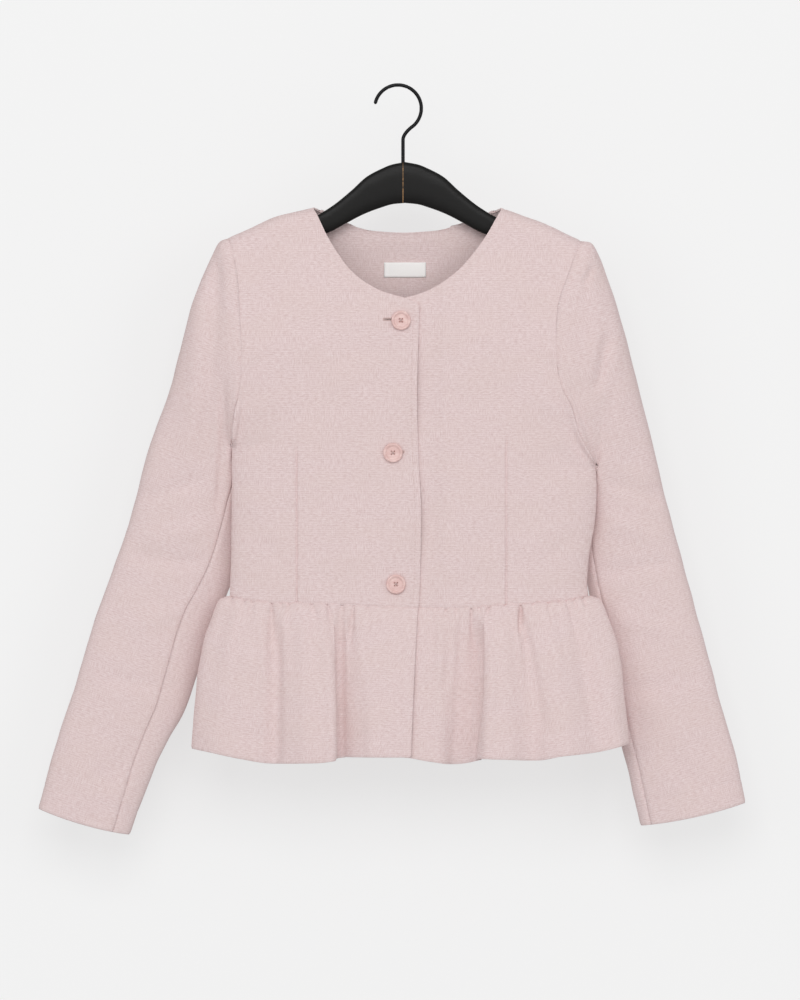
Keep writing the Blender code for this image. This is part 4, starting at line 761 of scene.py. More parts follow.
def peplum_panel(folds, front, lapped=False):
    """Outer grid of a peplum piece: rows down from the waist seam, columns along it."""
    rows = np.array(folds)
    place = np.linspace(0.0, len(rows) - 1.0, COLUMNS_PER_FOLD * (len(rows) - 1) + 1)
    waist_x, hem_x, gather, fold = (wave(rows[:, k], place)[None] for k in range(4))
    drop = gathered(PEPLUM_ROWS, 0.0, 1.0)[:, None]
    right_waist, left_waist = WAIST[0][0], WAIST[-1][0]
    right_hem, left_hem = HEM[0][0], HEM[-1][0]
    near = np.minimum(waist_x - right_waist, left_waist - waist_x)
    at_side = np.exp(-np.maximum(near, 0.0) / SIDE_REACH)
    flare = (smooth(SIDE_FLARE, drop) * at_side + drop**FRONT_FLARE_POWER * (1 - at_side))
    x = waist_x + (hem_x - waist_x) * flare
    top, foot = smooth(WAIST, waist_x) - WAIST_PARTING, smooth(HEM, hem_x)
    z = top + (foot - top) * drop
    side_flare = smooth(SIDE_FLARE, drop)
    right = right_waist + (right_hem - right_waist) * side_flare
    left = left_waist + (left_hem - left_waist) * side_flare
    across = np.clip((x - right) / (left - right), 0.0, 1.0)
    swing = HEM_MIDDLE_RIGHT * (1 - across) + HEM_MIDDLE_LEFT * across
    middle = swing * drop**SWING_POWER
    stand = drop**FLARE_POWER
    inward = np.minimum(x - right, left - x)
    gather_share = drop / GATHER_PEAK * np.exp(1.0 - drop / GATHER_PEAK)
    relief = (GATHER_SHARE * gather * np.minimum(gather_share, 1.0)
              + fold * drop**FOLD_POWER)
    rounded = section(inward, 0.5 * (left - right))
    if front:
        depth = WAIST_FRONT_DEPTH + (HEM_FRONT - WAIST_FRONT_DEPTH) * stand
        y = middle - depth * rounded - relief
    else:
        depth = WAIST_BACK_DEPTH + (HEM_BACK - WAIST_BACK_DEPTH) * stand
        y = middle + depth * rounded + relief
    if lapped:
        y = y + lap_depth(x)
    return np.stack(np.broadcast_arrays(x, y, z), axis=-1)


# Cloth walls

def unit(vectors):
    """Vectors scaled to length one."""
    return vectors / np.maximum(np.linalg.norm(vectors, axis=-1, keepdims=True), 1e-12)


def grid_normals(points, outward):
    """Normals of a grid from its rows and columns, turned to the outside."""
    down = np.gradient(points, axis=0)
    across = np.gradient(points, axis=1)
    normals = unit(np.cross(across, down)) * outward
    # Rows lie very close at the armhole's foot: averaged normals keep them from crossing
    for _ in range(NORMAL_PASSES):
        normals[1:-1] = unit(normals[:-2] + 2.0 * normals[1:-1] + normals[2:])
    return normals


def hook_path():
    """Middle line of the hook: an arc from its tip, a slant, and a shank down to its foot."""
    radius = HOOK_INNER_RADIUS + WIRE_RADIUS
    middle_z = -math.sqrt(HOOK_INNER_RADIUS**2 - HOOK_MIDDLE_X**2)
    angle = np.radians(np.linspace(HOOK_TIP_ANGLE, HOOK_END_ANGLE, HOOK_STEPS + 1))
    arc = np.stack([HOOK_MIDDLE_X + radius * np.cos(angle),
                    middle_z + radius * np.sin(angle)], axis=-1)
    t = np.linspace(0.0, 1.0, BEND_STEPS + 1)[1:, None]
    elbow = np.array((SHANK_X, BEND_TOP - BEND_LEAD))
    foot = np.array((SHANK_X, BEND_FOOT))
    bend = (1 - t) ** 2 * arc[-1] + 2 * t * (1 - t) * elbow + t**2 * foot
    shank = np.array(((SHANK_X, SHANK_RING), (SHANK_X, SHANK_FOOT)))
    return np.concatenate((arc, bend, shank))


def add_mesh(name, points, faces, finish):
    """New smooth object from points in millimetres, with quads or triangles as an array."""
    points = np.asarray(points, float).reshape(-1, 3) * MM
    faces = np.asarray(faces, int)
    mesh = bpy.data.meshes.new(name)
    mesh.vertices.add(len(points))
    mesh.vertices.foreach_set("co", points.astype(np.float32).ravel())
    mesh.loops.add(faces.size)
    mesh.loops.foreach_set("vertex_index", faces.ravel().astype(np.int32))
    mesh.polygons.add(len(faces))
    size = faces.shape[1]
    mesh.polygons.foreach_set("loop_start", np.arange(len(faces), dtype=np.int32) * size)
    mesh.update(calc_edges=True)
    mesh.validate()
    mesh.materials.append(finish)
    mesh.shade_smooth()
    made = bpy.data.objects.new(name, mesh)
    bpy.context.scene.collection.objects.link(made)
    return made


def place(made, slot, *nodes):
    """Let a piece move with the body and stand for its nodes; the slot is not used."""
    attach(made, "root")
    for node_name in nodes:
        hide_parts(node_name)
    return made


def grid_faces(index, closed=False):
    """Quads between neighbouring rows and columns of a grid of point numbers."""
    after = np.roll(index, -1, axis=1) if closed else index[:, 1:]
    here = index if closed else index[:, :-1]
    return np.stack([here[:-1], after[:-1], after[1:], here[1:]], axis=-1).reshape(-1, 4)


def sheet_faces(rows, columns):
    """Quads of a closed sheet: a near grid, a far one numbered on from it, and their rim."""
    near = np.arange(rows * columns).reshape(rows, columns)
    rim = np.concatenate((near[0, :-1], near[:-1, -1], near[-1, :0:-1], near[:0:-1, 0]))
    under = rim + near.size
    sides = np.stack([np.roll(rim, -1), rim, under, np.roll(under, -1)], axis=-1)
    return np.concatenate((grid_faces(near), grid_faces(near + near.size)[:, ::-1], sides))


def add_cloth(node_name, outer, facing, weave, finish):
    """Closed sheet of tweed for a node: an outer grid, the same grid moved in, and their rim.

    The weave gives each point's places across and along the threads in millimetres, which
    the finish reads as an attribute.
    """
    inner = outer - CLOTH * grid_normals(outer, facing)
    faces = sheet_faces(*outer.shape[:2])[:, ::facing]
    made = add_mesh("tweed_" + node_name, np.concatenate((outer, inner)), faces, finish)
    places = np.stack([*weave, np.zeros_like(weave[0])], axis=-1).astype(np.float32)
    threads = made.data.attributes.new("weave", "FLOAT_VECTOR", "POINT")
    threads.data.foreach_set("vector", np.tile(places.ravel(), 2))
    place(made, "tweed", node_name)
    width, length, share = SHEETS[node_name]
    width, length = width * MM, length * MM
    return made


def tube(path, radius, sides):
    """Points and quads of a round tube along a path, its ends drawn to a point."""
    ahead = unit(np.gradient(path, axis=0))
    lead = np.where(np.abs(ahead[:, :1]) < 0.9, (1.0, 0.0, 0.0), (0.0, 1.0, 0.0))
    across = unit(np.cross(ahead, lead))
    up = np.cross(across, ahead)
    turn = 2 * np.pi * np.arange(sides) / sides
    size = np.broadcast_to(radius, len(path))[:, None, None]
    rings = (path[:, None] + size * (across[:, None] * np.cos(turn)[None, :, None]
                                     + up[:, None] * np.sin(turn)[None, :, None]))
    faces = grid_faces(np.arange(len(path) * sides).reshape(len(path), sides), True)
    return rings, faces[:, ::-1]


def many(name, parts, finish):
    """One mesh from several (points, quads) parts."""
    points, faces, start = [], [], 0
    for part_points, part_faces in parts:
        flat = part_points.reshape(-1, 3)
        points.append(flat)
        faces.append(part_faces + start)
        start += len(flat)
    return add_mesh(name, np.concatenate(points), np.concatenate(faces), finish)


def arc_length(grid, axis):
    """Distance run along a grid's rows or columns from its first line."""
    steps = np.linalg.norm(np.diff(grid, axis=axis), axis=-1)
    run = np.cumsum(steps, axis=axis)
    return np.concatenate((np.zeros_like(np.take(run, [0], axis=axis)), run), axis=axis)


def seam_dip(distance):
    """A seam draws the cloth in, and the turned allowances lift it just beside that."""
    return (-SEAM_DEPTH * bell(distance, SEAM_WIDTH)
            + SEAM_LIFT * bell(distance - SEAM_LIFT_AT, SEAM_LIFT_WIDTH))


def turned_edge(distance, line, depth, width):
    """A turned edge rounds off over the cloth's thickness, with a pressed line inside it."""
    return -EDGE_DEPTH * bell(distance, EDGE_WIDTH) - depth * bell(distance - line, width)


def path_distance(x, z, path):
    """Distance of each point from a path of (x, height) rows."""
    rows = np.asarray(path, float)
    best = np.full(x.shape, np.inf)
    for start, end in zip(rows[:-1], rows[1:]):
        along_x, along_z = end - start
        t = ((x - start[0]) * along_x + (z - start[1]) * along_z) / (along_x**2 + along_z**2)
        t = np.clip(t, 0.0, 1.0)
        away = np.hypot(x - start[0] - t * along_x, z - start[1] - t * along_z)
        best = np.minimum(best, away)
    return best


def creased(x, z, table):
    """Sum of soft folds: each a bell across a line between two places, faded at its ends."""
    total = np.zeros_like(x)
    for x0, z0, x1, z1, width, height in table:
        span = math.hypot(x1 - x0, z1 - z0)
        t = ((x - x0) * (x1 - x0) + (z - z0) * (z1 - z0)) / span**2
        off = ((x - x0) * (z1 - z0) - (z - z0) * (x1 - x0)) / span
        off = off + CREASE_BOW * span * (t - t * t)
        fade = ease(t / CREASE_FADE + 0.5) * ease((1.0 - t) / CREASE_FADE + 0.5)
        total += height * bell(off, width) * fade
    return total


def folded_over(x, z, table):
    """Sum of sharp drops beside the edges of folds, each rising again over its reach."""
    total = np.zeros_like(x)
    for start, bend, end, side, depth, reach in table:
        rows = [(place_z, place_x) for place_x, place_z in (start, bend, end)]
        beyond = np.maximum(side * (x - smooth(rows, z)), 0.0)
        grown = ease((start[1] - z) / FOLD_START)
        total -= depth * grown * ease(beyond / FOLD_EDGE) * np.exp(-beyond / reach)
    return total


def uneven(u, v, height):
    """Slow waves of cloth that has been worn and pressed by hand, as a few crossed sines."""
    total = np.zeros_like(u)
    for length, turn, phase, share in UNEVEN:
        place_on = u * math.cos(turn) + v * math.sin(turn)
        total += share * np.sin(2 * np.pi * place_on / length + phase)
    return height * total


def dart_line(x, z, dart):
    """A sewn dart: a sharp groove up from the waist seam that dies out at its point."""
    dart_x, top, foot = dart
    share = np.clip((z - top) / (foot - top), 0.0, 1.0)
    sharp = DART_DEPTH * bell(x - dart_x, 1.0) * ease(share * 9.0)
    puff = DART_PUFF * bell(np.hypot(x - dart_x, 0.6 * (z - top)), 16.0)
    return puff - sharp - 0.35 * DART_DEPTH * bell(x - dart_x, 7.0) * share


def add_front(side_name, facing, outlines, creases, finish):
    """One front: panel, darts, creases, pressed neck line and seams."""
    panel = front_panel(*outlines, lapped=facing < 0)
    neck, edge, dart = outlines[3:]
    x, z = panel[..., 0], panel[..., 2]
    height = creased(x, z, creases) + uneven(x, z, UNEVEN_FRONT)
    height += dart_line(x, z, dart)
    from_side, from_waist = arc_length(panel, 1), arc_length(panel, 0)
    from_shoulder = from_waist[-1:] - from_waist
    # The seams fade where they meet at the shoulder's corner
    height += seam_dip(from_side) * (1.0 - 0.8 * bell(from_shoulder, 12.0))
    height += seam_dip(from_shoulder) * (1.0 - 0.8 * bell(from_side, 20.0))
    height += seam_dip(from_waist)
    from_neck = path_distance(x, z, along(neck, np.linspace(0.0, 1.0, 40)))
    height += turned_edge(from_neck, *NECK_PRESSED)
    straight = [(smooth(edge, h), h) for h in np.linspace(edge[0][0], neck[0][1], 30)]
    from_edge = path_distance(x, z, straight)
    line, depth, width = EDGE_PRESSED
    height += turned_edge(from_edge, line, depth * (facing > 0), width)
    if facing > 0:
        height -= BUTTON_DIMPLE * sum(bell(np.hypot(x - bx, z - bz), 14.0)
                                      for bx, bz in BUTTONS.values())
        held = [bz for _, bz in BUTTONS.values()]
        share = np.clip((held[0] - z) / (held[0] - held[2]), 0.0, 1.0)
        height += EDGE_LIFT * bell(from_edge, EDGE_LIFT_REACH) * np.sin(2 * np.pi * share) ** 2
    outer = panel + height[..., None] * grid_normals(panel, facing)
    return add_cloth("front_" + side_name, outer, facing, (x, z),
                     finish)


def add_back(finish):
    """The back: one panel with darts and creases like those in front."""
    panel = back_panel()
    x, z = panel[..., 0], panel[..., 2]
    height = creased(x, z, CREASES_BACK) + uneven(x + 40.0, z, UNEVEN_BACK)
    for dart in DARTS_BACK:
        height += dart_line(x, z, dart)
    from_right, from_waist = arc_length(panel, 1), arc_length(panel, 0)
    height += seam_dip(from_right) + seam_dip(from_right[:, -1:] - from_right)
    height += seam_dip(from_waist)
    shoulder = seam_dip(from_waist[-1:] - from_waist)
    shoulder[:, SHOULDER_COLUMNS + 1:SHOULDER_COLUMNS + NECK_COLUMNS] = 0.0
    height += shoulder
    from_neck = path_distance(x, z, along(NECK_BACK, np.linspace(0.03, 0.97, 50)))
    height += turned_edge(from_neck, *NECK_PRESSED)
    outer = panel + height[..., None] * grid_normals(panel, -1)
    return add_cloth("back", outer, -1, (x, z), finish)


def add_sleeve(side_name, facing, outlines, front_creases, back_creases, finish):
    """Top and under sleeve: creases on their front and back halves, seams and cuff."""
    pieces = sleeve_pieces(*outlines)
    # The weft runs square to the sleeve's own length
    run = (pieces[0][-1].mean(axis=0) - pieces[0][0].mean(axis=0))[[0, 2]]
    axis = unit(-run)
    square = np.array((-axis[1], axis[0]))
    for part_name, grid in zip(("top", "under"), pieces):
        x, y, z = (grid[..., k] for k in range(3))
        normal = grid_normals(grid, facing)
        front = np.clip(-2.5 * normal[..., 1], 0.0, 1.0)
        back = np.clip(2.5 * normal[..., 1], 0.0, 1.0)
        down, around = arc_length(grid, 0), arc_length(grid, 1)
        height = SLEEVE_CREASE * (creased(x, z, front_creases) * front
                                  + creased(x, z, back_creases) * back)
        height += uneven(x, z + 60.0, UNEVEN_SLEEVE) * ease(down / 40.0)
        # The armhole seam fades where it turns over the shoulder
        across_top = np.clip(front + back, 0.05, 1.0)
        height += seam_dip(down) * across_top
        height += seam_dip(around) + seam_dip(around[:, -1:] - around)
        height += turned_edge(down[-1:] - down, *CUFF_PRESSED)
        height += CAP_LIFT * bell(down - 12.0, 9.0) * np.clip(front + back, 0.0, 1.0)
        outer = grid + height[..., None] * normal
        outer[0] -= SLEEVE_TUCK * across_top[0][:, None] * unit(grid[2] - grid[0])
        turned = normal[..., 0] * square[0] + normal[..., 2] * square[1]
        weave = (x * square[0] + z * square[1] + y * turned, x * axis[0] + z * axis[1])
        add_cloth(f"sleeve_{part_name}_{side_name}", outer, facing, weave,
                  finish)


def add_peplum(where, folds, puckers, creases, overlaps, finish):
    """A gathered peplum panel: puckers under the seam, a soft hem and drawn-in seams."""
    grid = peplum_panel(folds, where != "back", where == "front_left")
    if where != "back":
        grid = rounded_corner(grid, where == "front_left")
    x, z = grid[..., 0], grid[..., 2]
    across, down = arc_length(grid, 1), arc_length(grid, 0)
    height = np.zeros_like(x)
    for top_x, foot_x, length, depth in puckers:
        t = np.clip(down / length, 0.0, 1.0)
        line = top_x + (foot_x - top_x) * t
        height -= PUCKER_DEPTH * depth * bell(x - line, 1.2 + 2.6 * t) * (1.0 - t) ** 0.7
    height += creased(x, z, creases) + folded_over(x, z, overlaps)
    height += uneven(across, down, UNEVEN_PEPLUM) * ease(down / 60.0)
    height += seam_dip(down) + seam_dip(across) + seam_dip(across[:, -1:] - across)
    height += turned_edge(down[-1:] - down, *HEM_PRESSED)
    outer = grid + height[..., None] * grid_normals(grid, -1)
    add_cloth("peplum_" + where, outer, -1, (across, -down), finish)


def rounded_corner(grid, front_first):
    """Round the lower front corner of a peplum front, as turned and pressed."""
    across = arc_length(grid, 1)
    edge = across if front_first else across[:, -1:] - across
    inside = np.clip(CORNER_RADIUS - edge[-1], 0.0, CORNER_RADIUS)
    lift = CORNER_RADIUS - np.sqrt(CORNER_RADIUS**2 - inside**2)
    share = np.linspace(0.0, 1.0, len(grid))[:, None] ** 3
    grid = grid.copy()
    grid[..., 2] += share * lift[None]
    return grid


# What lies on the cloth

class Surface:
    """A finished piece that rays can find."""

    def __init__(self, made):
        mesh = made.data
        points = np.empty(len(mesh.vertices) * 3, np.float32)
        mesh.vertices.foreach_get("co", points)
        corners = np.empty(len(mesh.loops), np.int32)
        mesh.loops.foreach_get("vertex_index", corners)
        self.tree = BVHTree.FromPolygons(points.reshape(-1, 3).tolist(),
                                         corners.reshape(-1, 4).tolist())

    def at(self, x, z, y=PROBE_FROM):
        """Places and normals where level rays towards the back meet it, in millimetres."""
        x, z = np.broadcast_arrays(x, z)
        found = [self.tree.ray_cast(Vector((a, y, b)) * MM, Vector((0.0, 1.0, 0.0)))[:2]
                 for a, b in zip(x.flat, z.flat)]
        assert all(hit is not None for hit, _ in found), "a ray misses the cloth"
        hits, normals = (np.array([pair[k] for pair in found]).reshape(x.shape + (3,))
                         for k in (0, 1))
        return hits / MM, np.where(normals[..., 1:2] > 0.0, -normals, normals)


def button_frame(cloth, x, z):
    """Middle and three directions of a button that lies on the cloth at (x, z)."""
    reach = BUTTON_RADIUS * BUTTON_FOOTING
    hits, _ = cloth.at(x + reach * np.array((0.0, 1.0, -1.0, 0.0, 0.0)),
                       z + reach * np.array((0.0, 0.0, 0.0, 1.0, -1.0)))
    right, up = unit(hits[1] - hits[2]), unit(hits[3] - hits[4])
    facing = unit(np.cross(right, up))
    facing = facing if facing[1] < 0.0 else -facing
    up = unit(np.cross(right, facing))
    up = up if up[2] > 0.0 else -up
    # It lies on the highest of the places that were found
    lift = ((hits - hits[0]) @ facing).max()
    return hits[0] + facing * (lift + BUTTON_SEAT), right, up, facing


def add_button(name, cloth, x, z, resin, thread):
    """Rimmed four-hole button: a turned profile with drilled holes, sewn with a cross."""
    middle, right, up, facing = button_frame(cloth, x, z)
    edge, level = BUTTON_RIM[0]
    face = np.stack([np.linspace(0.02, edge, BUTTON_FACE_STEPS)[:-1],
                     np.full(BUTTON_FACE_STEPS - 1, level)], axis=-1)
    rim = along(BUTTON_RIM, np.linspace(0.0, 1.0, BUTTON_RIM_STEPS))
    radius, height = np.concatenate((face, rim)).T
    turn = 2 * np.pi * np.arange(BUTTON_STEPS) / BUTTON_STEPS
    across, rise = radius[:, None] * np.cos(turn), radius[:, None] * np.sin(turn)
    out = np.repeat(height[:, None], BUTTON_STEPS, axis=1)
    on_face = (np.arange(len(height)) < BUTTON_FACE_STEPS)[:, None]
    angles = math.pi * (0.25 + 0.5 * np.arange(4))
    holes = HOLE_SPREAD * np.stack([np.cos(angles), np.sin(angles)], axis=-1)
    for hole in holes:
        away = np.hypot(across - hole[0], rise - hole[1])
        out = out - HOLE_DEPTH * ease((HOLE_RADIUS + 0.15 - away) / 0.3) * on_face
    grid = (middle + across[..., None] * right + rise[..., None] * up
            + out[..., None] * facing)
    faces = grid_faces(np.arange(out.size).reshape(out.shape), True)
    made = add_mesh("resin_" + name, grid, faces[:, ::-1], resin)
    place(made, "button", name)
    parts = []
    arch = np.linspace(0.0, 1.0, 15)
    size = THREAD_RADIUS * np.sin(np.pi * np.clip(arch, 0.04, 0.96)) ** 0.3
    for first, last, lift in ((holes[0], holes[2], 0.35), (holes[1], holes[3], 0.75)):
        beside = np.array((first[1] - last[1], last[0] - first[0])) / (2 * HOLE_SPREAD)
        bow = level - THREAD_SINK + (THREAD_SINK + lift) * np.sin(np.pi * arch) ** 0.35
        for shift in (-THREAD_BESIDE, THREAD_BESIDE):
            flat = first + (last - first) * arch[:, None] + shift * beside
            path = middle + flat[:, :1] * right + flat[:, 1:] * up + bow[:, None] * facing
            parts.append(tube(path, size, 8))
    place(many("thread_" + name, parts, thread), "tweed")


def stitch(middle, direction, normal, length, thickness):
    """One short stitch: a spindle that lies along a direction and stands off the cloth."""
    t = np.linspace(-1.0, 1.0, 6)
    path = (middle[None] + 0.5 * length * t[:, None] * direction[None]
            + (0.15 * thickness - 0.25 * length * t**4)[:, None] * normal[None])
    return tube(path, thickness * np.maximum(1.0 - t**4, 0.06), 6)


def stitch_row(name, cloth, path, spacing, length, thickness, finish):
    """Even stitches along a path of (x, height) rows on a piece of cloth."""
    rows = np.asarray(path, float)
    run = run_along(rows)
    at = np.arange(spacing, run[-1] - spacing, spacing)
    places, normals = cloth.at(np.interp(at, run, rows[:, 0]), np.interp(at, run, rows[:, 1]))
    ahead = unit(np.gradient(places, axis=0))
    parts = [stitch(p, d, n, length, thickness) for p, d, n in zip(places, ahead, normals)]
    place(many(name, parts, finish), "tweed")


def add_buttonhole(name, cloth, first_x, last_x, z, thread, dark):
    """A worked buttonhole: close stitches across both lips, end bars, a slit of painted shade."""
    steps = np.arange(first_x, last_x, HOLE_STITCH)
    parts = []
    for side in (-1.0, 1.0):
        for hit, normal in zip(*cloth.at(steps, z + side)):
            parts.append(stitch(hit, UP, normal, 1.7, 0.34))
    for hit, normal in zip(*cloth.at(np.array((first_x, last_x)), z)):
        for shift in (-0.35, 0.35):
            parts.append(stitch(hit + np.array((shift, 0.0, 0.0)), UP, normal, 3.6, 0.4))
    place(many(name, parts, thread), "tweed")
    # The slit is a thin dark tube just in front of the cloth: painted shade where the cut opens
    middle, _ = cloth.at(np.linspace(first_x, last_x, 12), z)
    middle[:, 1] -= 0.12
    thick = 0.24 * np.sin(np.pi * np.linspace(0.05, 0.95, 12)) ** 0.4
    place(many(name + "_slit_painted_shade", [tube(middle, thick, 8)], dark), "tweed")


def add_label(back, tape, thread):
    """Bare woven label inside the back, with turned ends and a few holding stitches."""
    up, right = (np.linspace(-0.5, 0.5, count) for count in LABEL_GRID)
    near, _ = back.at((LABEL_MIDDLE[0] + LABEL_WIDTH * right)[None],
                      (LABEL_MIDDLE[1] + LABEL_HEIGHT * up)[:, None], 0.0)
    near[..., 1] -= LABEL_LIFT + 0.35 * bell((np.abs(right) - 0.47) * LABEL_WIDTH, 1.2)
    far = near.copy()
    near[..., 1] -= LABEL_THICK
    label = add_mesh("label_tape", np.concatenate((near, far)), sheet_faces(*LABEL_GRID), tape)
    place(label, "label", "neck_label")
    ends = LABEL_MIDDLE[0] + np.array((-1.0, 1.0)) * (0.5 * LABEL_WIDTH - 1.4)
    heights = LABEL_MIDDLE[1] + LABEL_HEIGHT * np.linspace(-0.42, 0.42, 7)
    hits, _ = back.at(ends[:, None], heights[None], 0.0)
    hits[..., 1] -= LABEL_LIFT + LABEL_THICK + 0.1
    parts = [stitch(hit, UP, TO_FRONT, 1.3, 0.16) for hit in hits.reshape(-1, 3)]
    place(many("label_stitches", parts, thread), "label")


# Hanger

def add_hanger(wood):
    """Wooden hanger: rounded sections that follow its top and foot edge."""
    turn = np.linspace(-1.0, 1.0, HANGER_ROWS)
    reach = HANGER_REACH * (END_CLOSING * np.sin(0.5 * np.pi * turn)
                            + (1.0 - END_CLOSING) * turn)
    x, distance = HANGER_MIDDLE + reach, np.abs(reach)
    top, foot = smooth(HANGER_TOP, distance), smooth(HANGER_FOOT, distance)
    seat = ridge(x) - SEAT_SLANT * WALL - ARM_SEAT
    top = top + (seat - top) * ease((distance - SEAT_FROM) / (SEAT_FULL - SEAT_FROM))
    thick = HANGER_THICK - ARM_THINNING * ease((distance - THINNING_FROM) / THINNING_OVER)
    blunt = np.sqrt(np.clip((HANGER_REACH - distance) / END_ROUNDING, 0.004, 1.0))
    angle = 2 * np.pi * (np.arange(HANGER_SIDES) + 0.5) / HANGER_SIDES
    power = 2.0 / HANGER_SECTION_POWER
    round_y, round_z = (np.sign(turned) * np.abs(turned) ** power
                        for turned in (np.cos(angle), np.sin(angle)))
    half = 0.5 * (top - foot)
    rings = np.empty((HANGER_ROWS, HANGER_SIDES, 3))
    rings[..., 0] = x[:, None]
    rings[..., 1] = 0.5 * (thick * blunt)[:, None] * round_y[None]
    rings[..., 2] = (top - half)[:, None] + half[:, None] * (
        round_z[None] * np.where(round_z > 0, 1.0, blunt[:, None]))
    # A hair's breadth of joint at the middle, where the two halves are glued
    rings[..., 1] *= 1.0 - 0.035 * bell(x - SHANK_X, 0.5)[:, None]
    index = np.arange(HANGER_ROWS * HANGER_SIDES).reshape(rings.shape[:2])
    made = add_mesh("lacquered_hanger", rings, grid_faces(index, True)[:, ::-1], wood)
    close_ends(made)
    place(made, "hanger_wood", "hanger_body")


def close_ends(made):
    """Cap the open rings at the ends of a tube."""
    work = bmesh.new()
    work.from_mesh(made.data)
    open_edges = [edge for edge in work.edges if edge.is_boundary]
    bmesh.ops.holes_fill(work, edges=open_edges, sides=0)
    bmesh.ops.recalc_face_normals(work, faces=work.faces)
    work.to_mesh(made.data)
    work.free()
    made.data.shade_smooth()


def add_hook(steel):
    """Bent wire hook with a rounded tip."""
    flat = hook_path()
    share = np.linspace(0.0, 1.0, HOOK_ROWS)
    path = np.insert(along(flat, share), 1, 0.0, axis=-1)
    size = WIRE_RADIUS * np.sqrt(np.clip(share * run_along(flat)[-1] / WIRE_TIP, 0.02, 1.0))
    made = add_mesh("hook_wire", *tube(path, size, 20), steel)
    close_ends(made)
    place(made, "hook_wire", "hanger_hook")


# Finishes

def colour(code):
    """Linear colour with alpha from a six-digit sRGB code."""
    parts = [int(code[k:k + 2], 16) / 255.0 for k in (0, 2, 4)]
    return tuple(p / 12.92 if p <= 0.04045 else ((p + 0.055) / 1.055) ** 2.4
                 for p in parts) + (1.0,)


def node(tree, kind, inputs=(), output=0, **settings):
    """Output of a new shader node, whose inputs take values or the outputs of other nodes."""
    made = tree.nodes.new(kind)
    for key, value in settings.items():
        setattr(made, key, value)
    for key, value in dict(inputs).items():
        if isinstance(value, bpy.types.NodeSocket):
            tree.links.new(value, made.inputs[key])
        else:
            made.inputs[key].default_value = value
    return made.outputs[output]


def new_finish(name, **sockets):
    """New material with these values on its surface shader, and the tree that feeds it."""
    made = bpy.data.materials.new(name)
    made.use_nodes = True
    surface = made.node_tree.nodes["Principled BSDF"]
    for key, value in sockets.items():
        surface.inputs[key.replace("_", " ")].default_value = value
    return made, made.node_tree, surface


def grain(tree, place, size, detail=2.0, rough=0.5, levels=None, to=(0.0, 1.0)):
    """Uneven pattern of patches of a size in millimetres, softly cut between two levels."""
    scale = [1.0 / length for length in size]
    spread = node(tree, "ShaderNodeVectorMath", {0: place, 1: scale}, operation="MULTIPLY")
    value = node(tree, "ShaderNodeTexNoise", {"Vector": spread, "Scale": 1.0,
                                              "Detail": detail, "Roughness": rough})
    if levels is None:
        return value
    ends = dict(zip(("From Min", "From Max", "To Min", "To Max"), (*levels, *to)))
    return node(tree, "ShaderNodeMapRange", {"Value": value, **ends},
                interpolation_type="SMOOTHSTEP")


def layered(tree, code, *layers):
    """Colour of a ground with other colours laid over it, each by its share."""
    base = colour(code)
    for share, over in layers:
        base = node(tree, "ShaderNodeMix", {0: share, 6: base, 7: colour(over)}, 2,
                    data_type="RGBA")
    return base


def feed(tree, surface, base, relief=None, strength=0.0, distance=0.0, rough=None):
    """Give a surface its colours and, where it has them, its relief and uneven gloss."""
    tree.links.new(base, surface.inputs["Base Color"])
    if relief is not None:
        bump = node(tree, "ShaderNodeBump", {"Strength": strength, "Distance": distance,
                                             "Height": relief})
        tree.links.new(bump, surface.inputs["Normal"])
    if rough is not None:
        value, *ends = rough
        ends = dict(zip(("From Min", "From Max", "To Min", "To Max"), ends))
        rough = node(tree, "ShaderNodeMapRange", {"Value": value, **ends},
                     interpolation_type="SMOOTHSTEP")
        tree.links.new(rough, surface.inputs["Roughness"])


def in_millimetres(tree):
    """Object coordinates carried to millimetres."""
    return node(tree, "ShaderNodeVectorMath",
                {0: node(tree, "ShaderNodeTexCoord", output="Object"), 1: [1.0 / MM] * 3},
                operation="MULTIPLY")


